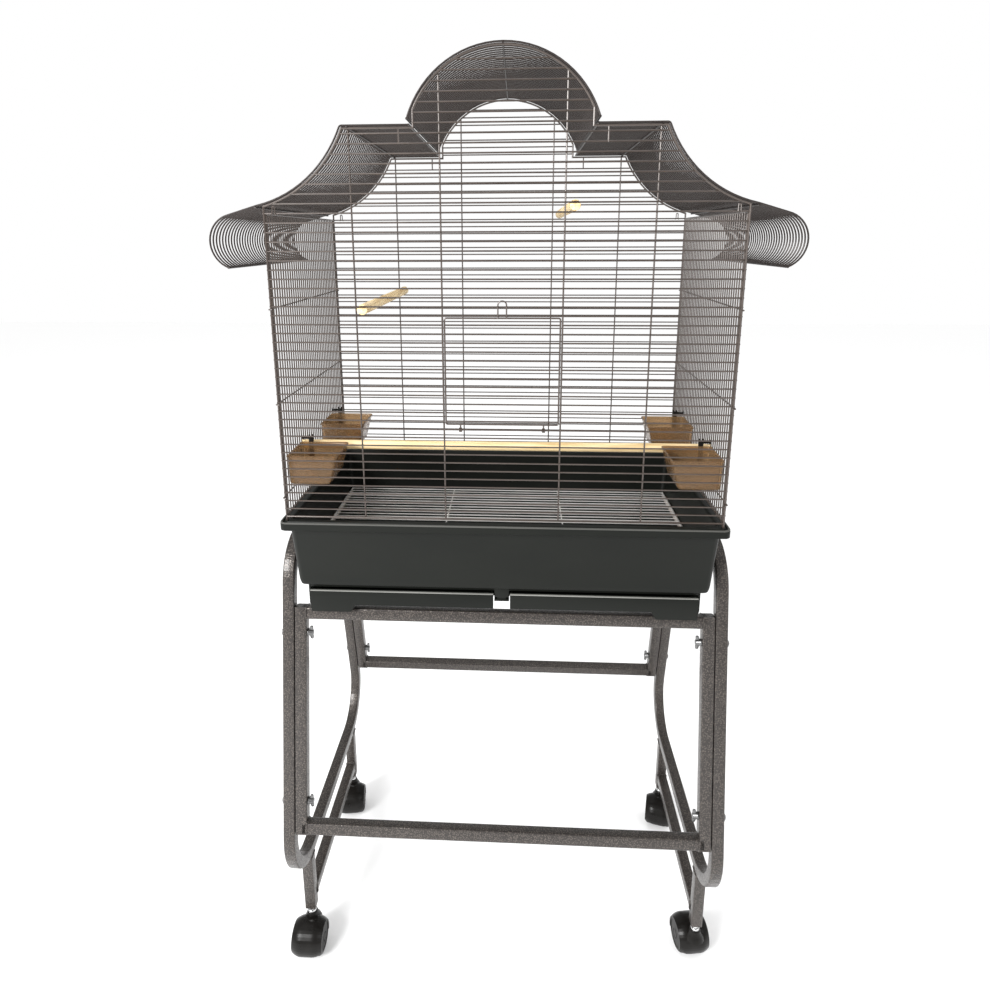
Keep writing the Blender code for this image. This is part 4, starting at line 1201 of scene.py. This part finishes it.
def makeCup(name, out, middle):
    halfX, halfY, top = cup["width"] / 2, cup["length"] / 2, cup["top"]
    low, rim = top - cup["height"], cup["rim"]
    inside = rim + cup["wall"]
    sections = takenIn((halfX - inside, halfY - inside), [
        (4, low + 2), (1.4, low + 3.2), (0.8, low + 6), (0, top - 4), (-0.6, top - 1.0), (-1.4, top)])
    sections += takenIn((halfX, halfY), [(0.6, top), (0, top - 0.6), (0, top - 2.0), (0.5, top - 2.6)])
    sections += takenIn((halfX - rim, halfY - rim), [
        (-0.2, top - 2.8), (0, top - 4.0), (0.8, low + 4.4), (1.6, low + 1.4), (3.4, low)])
    bm = ringStack(sections, cup["corner"], 4)
    run, rise = cup["slope"]
    for vert in bm.verts:
        if vert.co.z < low + rise and out * vert.co.x < 0:
            vert.co.x += out * run * (low + rise - vert.co.z) / rise
    bmesh.ops.translate(bm, vec=(out * (cup["outer"] - halfX), middle, 0), verts=bm.verts)
    finishMesh(bm, name + "_shell", root, "smoke", (name,), 35)


# Heights of the clips are from the cups' tops.
clip = {
    "strap": (305.9, 313.9),
    "thick": 2.2,
    "rise": 9.0,
    "drop": 26.0,
    "gap": 0.4,            # from the cup
    "arm": (4.0, 8.0),
    "grip": (2.6, 9.4),    # the grip that holds the side panel's wires
    "gripThick": 1.8,
    "inset": 1.4,          # knobs and ribs in from the strap's sides
    "ribs": (6.0, 12.0, 18.0),
    "ribHalf": 0.8,
}


def makeClip(name, out, middle):
    top, high = cup["top"], cup["top"] + clip["rise"]
    (inner, outer), wall = clip["strap"], cup["outer"]
    (armLow, armHigh), (gripLow, gripHigh) = clip["arm"], clip["grip"]
    near = middle + cup["length"] / 2 + clip["gap"]
    far = near + clip["thick"]
    bm = bmesh.new()
    roundedBox(bm, (out * inner, out * outer), (near, far), (top - clip["drop"], high), 0.6)
    roundedBox(bm, (out * (outer - 1), out * wall), (near, far), (top + armLow, top + armHigh), 0.6)
    roundedBox(bm, (out * (wall - clip["gripThick"]), out * wall), (near - 0.3, far + 0.6),
               (top + gripLow, top + gripHigh), 0.5)
    knob = lathed([(0, 0), (1.35, 0), (1.5, 1.2), (1.2, 2.6), (0.6, 3.0), (0, 3.0)], 12)
    inner, outer, half = inner + clip["inset"], outer - clip["inset"], clip["ribHalf"]
    for x in (inner, outer):
        addTo(bm, knob, shifted(out * x, (near + far) / 2, high - 0.2))
    for drop in clip["ribs"]:
        height = top - drop
        roundedBox(bm, (out * inner, out * outer), (far - 0.4, far + 0.5),
                   (height - half, height + half), 0.3)
    finishMesh(bm, name + "_tab", root, "clip", (name,))


makePerches()
for row, middle in cup["rows"].items():
    for sideName, out in (("left", -1), ("right", 1)):
        makeCup(f"cup_{row}_{sideName}", out, middle)
        makeClip(f"cup_clip_{row}_{sideName}", out, middle)
print("perches and cups made")


# Camera at the photograph's place and angle, a pale floor and soft lights
camera = {
    "place": (0.0225, -1.1105, 1.256),
    "yaw": 2.99,           # degrees
    "pitch": 13.27,
    "roll": -0.21,
    "lens": 24.33,
    "sensor": 36,
    "shift": (0.0114, -0.100),
    "nearest": 0.02,
}
# The room is the light from all around, and shine is how much less of it is mirrored.
# Each lamp has its place, what it faces, its two sizes and its power. Lengths here are in metres.
studio = {
    "room": 1.07,
    "shine": 0.62,
    "white": 0.95,
    "floorHalf": 9.0,
    "floorDrop": 0.0005,   # just under the wheels
    "lamps": {
        "key light": ((-1.7, -2.2, 2.1), (0, 0, 0.8), (1.1, 1.1), 115),
        "fill light": ((2.2, -1.8, 2.0), (0, 0, 0.8), (1.6, 1.6), 14),
        "top light": ((0.0, 0.4, 3.6), (0, 0, 0.4), (3.0, 2.4), 14),
    },
}


def makeCamera():
    data = bpy.data.cameras.new("photo camera")
    data.sensor_width = camera["sensor"]
    data.lens = camera["lens"]
    data.shift_x, data.shift_y = camera["shift"]
    data.clip_start = camera["nearest"]
    eye = bpy.data.objects.new("photo camera", data)
    scene.collection.objects.link(eye)
    turn = Matrix.Rotation(radians(camera["yaw"]), 4, "Z")
    turn @= Matrix.Rotation(radians(90 - camera["pitch"]), 4, "X")
    turn @= Matrix.Rotation(radians(camera["roll"]), 4, "Z")
    eye.matrix_world = shifted(*camera["place"]) @ turn
    scene.camera = eye


def softbox(name, place, target, size, power):
    data = bpy.data.lights.new(name, "AREA")
    data.shape = "RECTANGLE"
    data.size, data.size_y = size
    data.energy = power
    lamp = bpy.data.objects.new(name, data)
    lamp.location = place
    lamp.rotation_euler = (Vector(target) - Vector(place)).to_track_quat("-Z", "Y").to_euler()
    scene.collection.objects.link(lamp)


def makeStudio():
    scene.view_settings.view_transform = "Standard"
    world = bpy.data.worlds.new("pale room")
    scene.world = world
    world.use_nodes = True
    nodes, links = world.node_tree.nodes, world.node_tree.links
    room = nodes["Background"]
    room.inputs["Color"].default_value = (1, 1, 1, 1)
    path = nodes.new("ShaderNodeLightPath")
    glow = nodes.new("ShaderNodeMath")   # shiny pieces mirror a dimmer room
    glow.operation = "MULTIPLY_ADD"
    glow.inputs[1].default_value = -studio["shine"]
    glow.inputs[2].default_value = studio["room"]
    links.new(path.outputs["Is Glossy Ray"], glow.inputs[0])
    links.new(glow.outputs[0], room.inputs["Strength"])
    seen = nodes.new("ShaderNodeBackground")   # plain white behind the object and through the cups
    seen.inputs["Color"].default_value = (1, 1, 1, 1)
    pick = nodes.new("ShaderNodeMath")
    pick.operation = "MAXIMUM"
    links.new(path.outputs["Is Camera Ray"], pick.inputs[0])
    links.new(path.outputs["Is Transmission Ray"], pick.inputs[1])
    mixer = nodes.new("ShaderNodeMixShader")
    links.new(pick.outputs[0], mixer.inputs[0])
    links.new(room.outputs[0], mixer.inputs[1])
    links.new(seen.outputs[0], mixer.inputs[2])
    links.new(mixer.outputs[0], nodes["World Output"].inputs["Surface"])
    bm = bmesh.new()
    bmesh.ops.create_grid(bm, x_segments=1, y_segments=1, size=studio["floorHalf"])
    floor = bpy.data.objects.new("studio_floor", kept(bm))
    floor.location.z = -studio["floorDrop"]
    scene.collection.objects.link(floor)
    finish = Finish("pale studio floor")
    floor.data.materials.append(finish.done(grey(studio["white"]), 0.9))
    for name, lamp in studio["lamps"].items():
        softbox(name, *lamp)


makeCamera()
makeStudio()
left = [name for name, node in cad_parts.items() if not node.hide_render]
print("CAD nodes still shown:", left)
